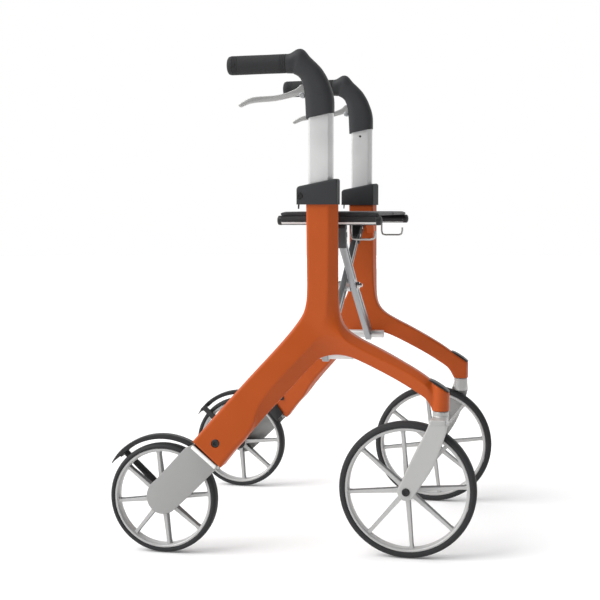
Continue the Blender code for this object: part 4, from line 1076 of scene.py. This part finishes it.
def linkage():
    for letter, node_x, side in (("a", middle("cross_bar_a").x, "right"),
                                 ("b", middle("cross_bar_b").x, "left")):
        bar, groove_shade = bar_shape(node_x)
        if side == "right":
            bar, groove_shade = flipped(bar), flipped(groove_shade)
        piece(bar, f"bar_{letter}_extrusion", f"bar_{letter}", BAR, [f"cross_bar_{letter}"])
        # the groove floors' darker sheets are painted shade
        piece(groove_shade, f"bar_{letter}_groove_shade", f"bar_{letter}", BAR_GROOVE_SHADE)
        clamp = bevel(cad_copy(f"bar_bracket_{letter}"), 0.0011, 2, 30.0)
        piece(clamp, f"bar_{letter}_clamp", f"bar_{letter}", PLASTIC,
              [f"bar_bracket_{letter}"])
        # rivets through the clamp and the bar
        sign = -1 if side == "right" else 1
        rivets = []
        for reach in (RAIL_REACH - 0.062, RAIL_REACH - 0.034):
            y, z = toward_rail(reach)
            face = 0.0085 + 0.009 * (reach - RAIL_REACH + 0.078) / 0.078
            shift = 0.0 if side == "right" else -0.007 * (reach - RAIL_REACH + 0.078) / 0.078
            rivets.append(lathe([(face - 0.001, 0.0034), (face + 0.0006, 0.0034), (face + 0.0012, 0.0026),
                                 (face + 0.0014, 0.0012)], "x", (node_x + shift, sign * y, z), 24))
        piece(merge(*rivets), f"bar_{letter}_rivets", f"bar_{letter}", STEEL)
    low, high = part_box("cross_pivot")
    back, front = middle("cross_bar_b").x - BAR_DEPTH / 2, middle("cross_bar_a").x + BAR_DEPTH / 2
    inner0 = middle("cross_bar_b").x + BAR_DEPTH / 2 + 0.0003
    inner1 = middle("cross_bar_a").x - BAR_DEPTH / 2 - 0.0003
    shank = lathe([(low.x, 0.0052), (low.x + 0.0014, 0.0078), (back - 0.0004, 0.0078), (back - 0.0003, 0.004),
                   (inner0, 0.004), (inner0, 0.0128), (inner1, 0.0128), (inner1, 0.004),
                   (front + 0.0003, 0.004),
                   (high.x - 0.001, 0.0038), (high.x, 0.0028)], "x", (0.0, 0.0, CROSS.z), 40)
    nut = prism([(0.0074 * cos(a), CROSS.z + 0.0074 * sin(a)) for a in around(6)], "x",
                front + 0.0003, front + 0.006)
    piece(combine(shank, bevel(nut, 0.0007, 2)), "crossing_bolt", "bar_b", STEEL, ["cross_pivot"])


def end_band(x0, x1, start, end, outer):
    """A thin strip around part of the rail, between two angles seen from the front."""
    arc = [radians(start + (end - start) * i / 24) for i in range(25)]
    outline = [(RAIL.y + outer * cos(a), RAIL.z + outer * sin(a)) for a in arc]
    inner = outer - 0.0004
    outline += [(RAIL.y + inner * cos(a), RAIL.z + inner * sin(a)) for a in reversed(arc)]
    return prism(outline, "x", x0, x1)


# the cloth sleeve's wrap round the rail, in degrees, and how far its outside stands off the tube
SLEEVE_START, SLEEVE_END, SLEEVE_LIFT = -22, 131, 0.00045


def seat_rails():
    bodies = {"right": "bar_a", "left": "bar_b"}
    low, high, r = RAIL_LOW, RAIL_HIGH, RAIL_R
    back, front = low.x + 0.0075, high.x - 0.0095
    tube = lathe([(back, r - 0.001), (back, r), (front, r), (front, r - 0.001)], "x", (0.0, RAIL.y, RAIL.z),
                 40)
    hook_low, hook_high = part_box("left_basket_hook")
    x0, x1 = hook_low.x + 0.0024, hook_high.x - 0.0024
    z0 = hook_low.z + 0.0024
    top = RAIL.z - r - 0.0003
    wire = [(x0, top), (x0, z0 + 0.009), (x0 + 0.002, z0 + 0.0022), (x0 + 0.008, z0), (x1 - 0.008, z0),
            (x1 - 0.002, z0 + 0.0022), (x1, z0 + 0.009), (x1, z0 + 0.016)]
    hook = tube_along([(p[0], RAIL.y, p[1]) for p in curve_through(wire, 5, sharp=(1, 3, 4, 6))], 0.0019, 14)
    # black end plugs, a black strip under the rail, and the cloth sleeve over its top and both sides
    plug = []
    for end, out in ((back + 0.001, -1), (front - 0.001, 1)):
        reach = abs((low.x if out < 0 else high.x) - end)
        profile = [(end, r - 0.001), (end, r + 0.0006), (end + out * reach * 0.45, r + 0.0006),
                   (end + out * reach * 0.75, r + 0.0002), (end + out * reach * 0.93, r - 0.0025),
                   (end + out * reach, r - 0.006)]
        plug.append(lathe(profile, "x", (0.0, RAIL.y, RAIL.z), 40))
    edge = end_band(back, front, -122, -58, r + 0.00025)
    plugs = merge(edge, *plug)
    sleeve_r = r + SLEEVE_LIFT
    sleeve = end_band(back + 0.0012, front - 0.0012, SLEEVE_START, SLEEVE_END, sleeve_r)
    inner = {}
    for word in SIDES:
        clamp_low, clamp_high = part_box(f"bar_bracket_{bodies[word][-1]}")
        inner[word] = merge(end_band(back + 0.0012, clamp_low.x - 0.0008, 133, 225, sleeve_r),
                            end_band(clamp_high.x + 0.0008, front - 0.0012, 133, 225, sleeve_r))
    for obj, name, slot, paint, node in ((tube, "rail_tube", "aluminium", TUBE, "seat_rail"),
                                         (hook, "hook_wire", "steel", WIRE, "basket_hook"),
                                         (plugs, "rail_plugs", "dark_plastic", BLACK, None),
                                         (sleeve, "rail_sleeve", "fabric", BINDING, None)):
        other = mirrored(obj)
        for word, made in (("left", obj), ("right", other)):
            piece(made, f"{word}_{name}", bodies[word], paint, [f"{word}_{node}"] if node else [])
    for word in SIDES:
        made = inner[word] if word == "left" else flipped(inner[word])
        piece(made, f"{word}_rail_wrap", bodies[word], BLACK)
        rest = bevel(cad_copy(f"{word}_seat_rest"), 0.001, 2, 30.0)
        piece(rest, f"{word}_rest_ledge", f"{word}_frame", ORANGE, [f"{word}_seat_rest"])


# ---------------------------------------------------------------- seat


CLOTH_STEPS, MOST_SWELL = 12, 0.0016
SEAM_WIDTH, SEAM_DEPTH = 0.0035, 0.001
STITCH_PITCH, STITCH_LENGTH, THREAD_R = 0.0042, 0.0028, 0.00042


def seat_half():
    """The left half of the seat: a thin quilted pad, swollen by a short cloth simulation."""
    low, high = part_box("left_seat_panel")
    y0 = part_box("left_seat_flap")[0].y
    x0, x1 = low.x - 0.003, high.x + 0.004
    outline = rounded([(x0, y0 + 0.0008), (x1, y0 + 0.0008), (x1, high.y + 0.0014), (x0, high.y + 0.0014)],
                      0.006, 4)
    pad = prism(outline, "z", low.z, high.z - 0.0004)
    apply(pad, "REMESH", mode="VOXEL", voxel_size=0.0026)
    rest = np.array([v.co for v in pad.data.vertices])
    bpy.context.view_layer.update()
    cloth = pad.modifiers.new("cloth", "CLOTH")
    cloth.settings.use_pressure = True
    cloth.settings.uniform_pressure_force = 4.0
    cloth.settings.effector_weights.gravity = 0.0
    cloth.point_cache.frame_start, cloth.point_cache.frame_end = 1, CLOTH_STEPS
    for step in range(1, CLOTH_STEPS + 1):
        scene.frame_set(step)
    made = bpy.data.meshes.new_from_object(pad.evaluated_get(bpy.context.evaluated_depsgraph_get()))
    pad.modifiers.clear()
    pad.data = made
    scene.frame_set(1)
    now = np.array([v.co for v in pad.data.vertices])
    moved = now - rest
    far = np.linalg.norm(moved, axis=1, keepdims=True)
    moved *= np.minimum(1.0, MOST_SWELL / np.maximum(far, 1e-9))
    points = rest + moved
    # the underside keeps off the rail and droops over its outer side, and the top stays level
    points[:, 2] = np.clip(points[:, 2], low.z + 0.0001, high.z + 0.0012)
    over = np.clip(points[:, 1] - RAIL.y, 0.0, None)
    droop = RAIL.z + np.sqrt((RAIL_R + 0.0009) ** 2 - over ** 2) - low.z
    share = np.clip(1.3 * (high.z - points[:, 2]) / (high.z - low.z), 0.0, 1.0)
    points[:, 2] += np.where(over > 0, droop * share, 0.0)
    points[:, 1] = np.clip(points[:, 1], y0 + 0.0002, high.y + 0.0018)
    points[:, 0] = np.clip(points[:, 0], x0 - 0.0006, x1 + 0.0006)
    for vertex, place in zip(pad.data.vertices, points):
        vertex.co = place
    apply(pad, "SUBSURF", levels=1, render_levels=1)
    # sewn lines: one along each edge, and two from side to side between them
    bm = opened(pad)
    middle_z = (low.z + high.z) / 2
    seams_y = [high.y - 0.012, y0 + 0.01]
    seams_x = [low.x + 0.01, high.x - 0.01, low.x + 0.06, low.x + 0.12]
    for corner in bm.verts:
        x, y, z = corner.co
        depth = 0.0
        for seam in seams_y:
            depth = max(depth, 1.0 - abs(y - seam) / SEAM_WIDTH)
        for seam in seams_x:
            if seams_y[1] < y < seams_y[0]:
                depth = max(depth, 1.0 - abs(x - seam) / SEAM_WIDTH)
        if depth > 0:
            side = 1 if z > middle_z else -1
            corner.co.z -= side * SEAM_DEPTH * depth * depth * (3 - 2 * depth)
    closed(bm, pad.data)
    return pad, seams_x, seams_y


def stitches(pad, lines, top):
    """Short raised threads along sewn lines, laid on the pad's surface."""
    tree_parts = []
    surface = opened(pad)
    tree = BVHTree.FromBMesh(surface)
    surface.free()
    for (ax, ay), (bx, by) in lines:
        length = sqrt((bx - ax) ** 2 + (by - ay) ** 2)
        count = int(length / STITCH_PITCH)
        u = ((bx - ax) / length, (by - ay) / length)
        for i in range(count):
            start = (i + 0.15) * length / count
            spots = []
            for k in range(4):
                along = start + STITCH_LENGTH * k / 3
                x, y = ax + u[0] * along, ay + u[1] * along
                hit = tree.ray_cast(Vector((x, y, top + 0.02)), Vector((0, 0, -1)))[0]
                z = hit.z if hit else top
                lift = 0.0003 * sin(pi * k / 3)
                spots.append((x, y, z + lift))
            tree_parts.append(tube_along(spots, THREAD_R, 6))
    return merge(*tree_parts)


def seat():
    pad, seams_x, seams_y = seat_half()
    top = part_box("left_seat_panel")[1].z
    x0, x1 = seams_x[0], seams_x[1]
    lines = [((x0, y), (x1, y)) for y in seams_y]
    lines += [((x, seams_y[1] + 0.003), (x, seams_y[0] - 0.003)) for x in seams_x]
    thread = stitches(pad, lines, top)
    pads = {"right": mirrored(pad), "left": pad}
    threads = {"right": mirrored(thread), "left": thread}
    for word in SIDES:
        piece(pads[word], f"{word}_seat_pad", f"{word}_seat", CLOTH,
              [f"{word}_seat_panel", f"{word}_seat_flap"], sharp=60.0)
        piece(threads[word], f"{word}_seat_stitching", f"{word}_seat", THREAD, sharp=60.0)


# ---------------------------------------------------------------- everything

scene.view_settings.view_transform = "Standard"
camera()
stage()
side_frames()
handle_tubes()
collars()
necks()
grips()
levers()
wheels()
rear_brackets()
kerb_climbers()
brake_shoes()
caster_forks()
pivot_tubes()
linkage()
seat_rails()
seat()
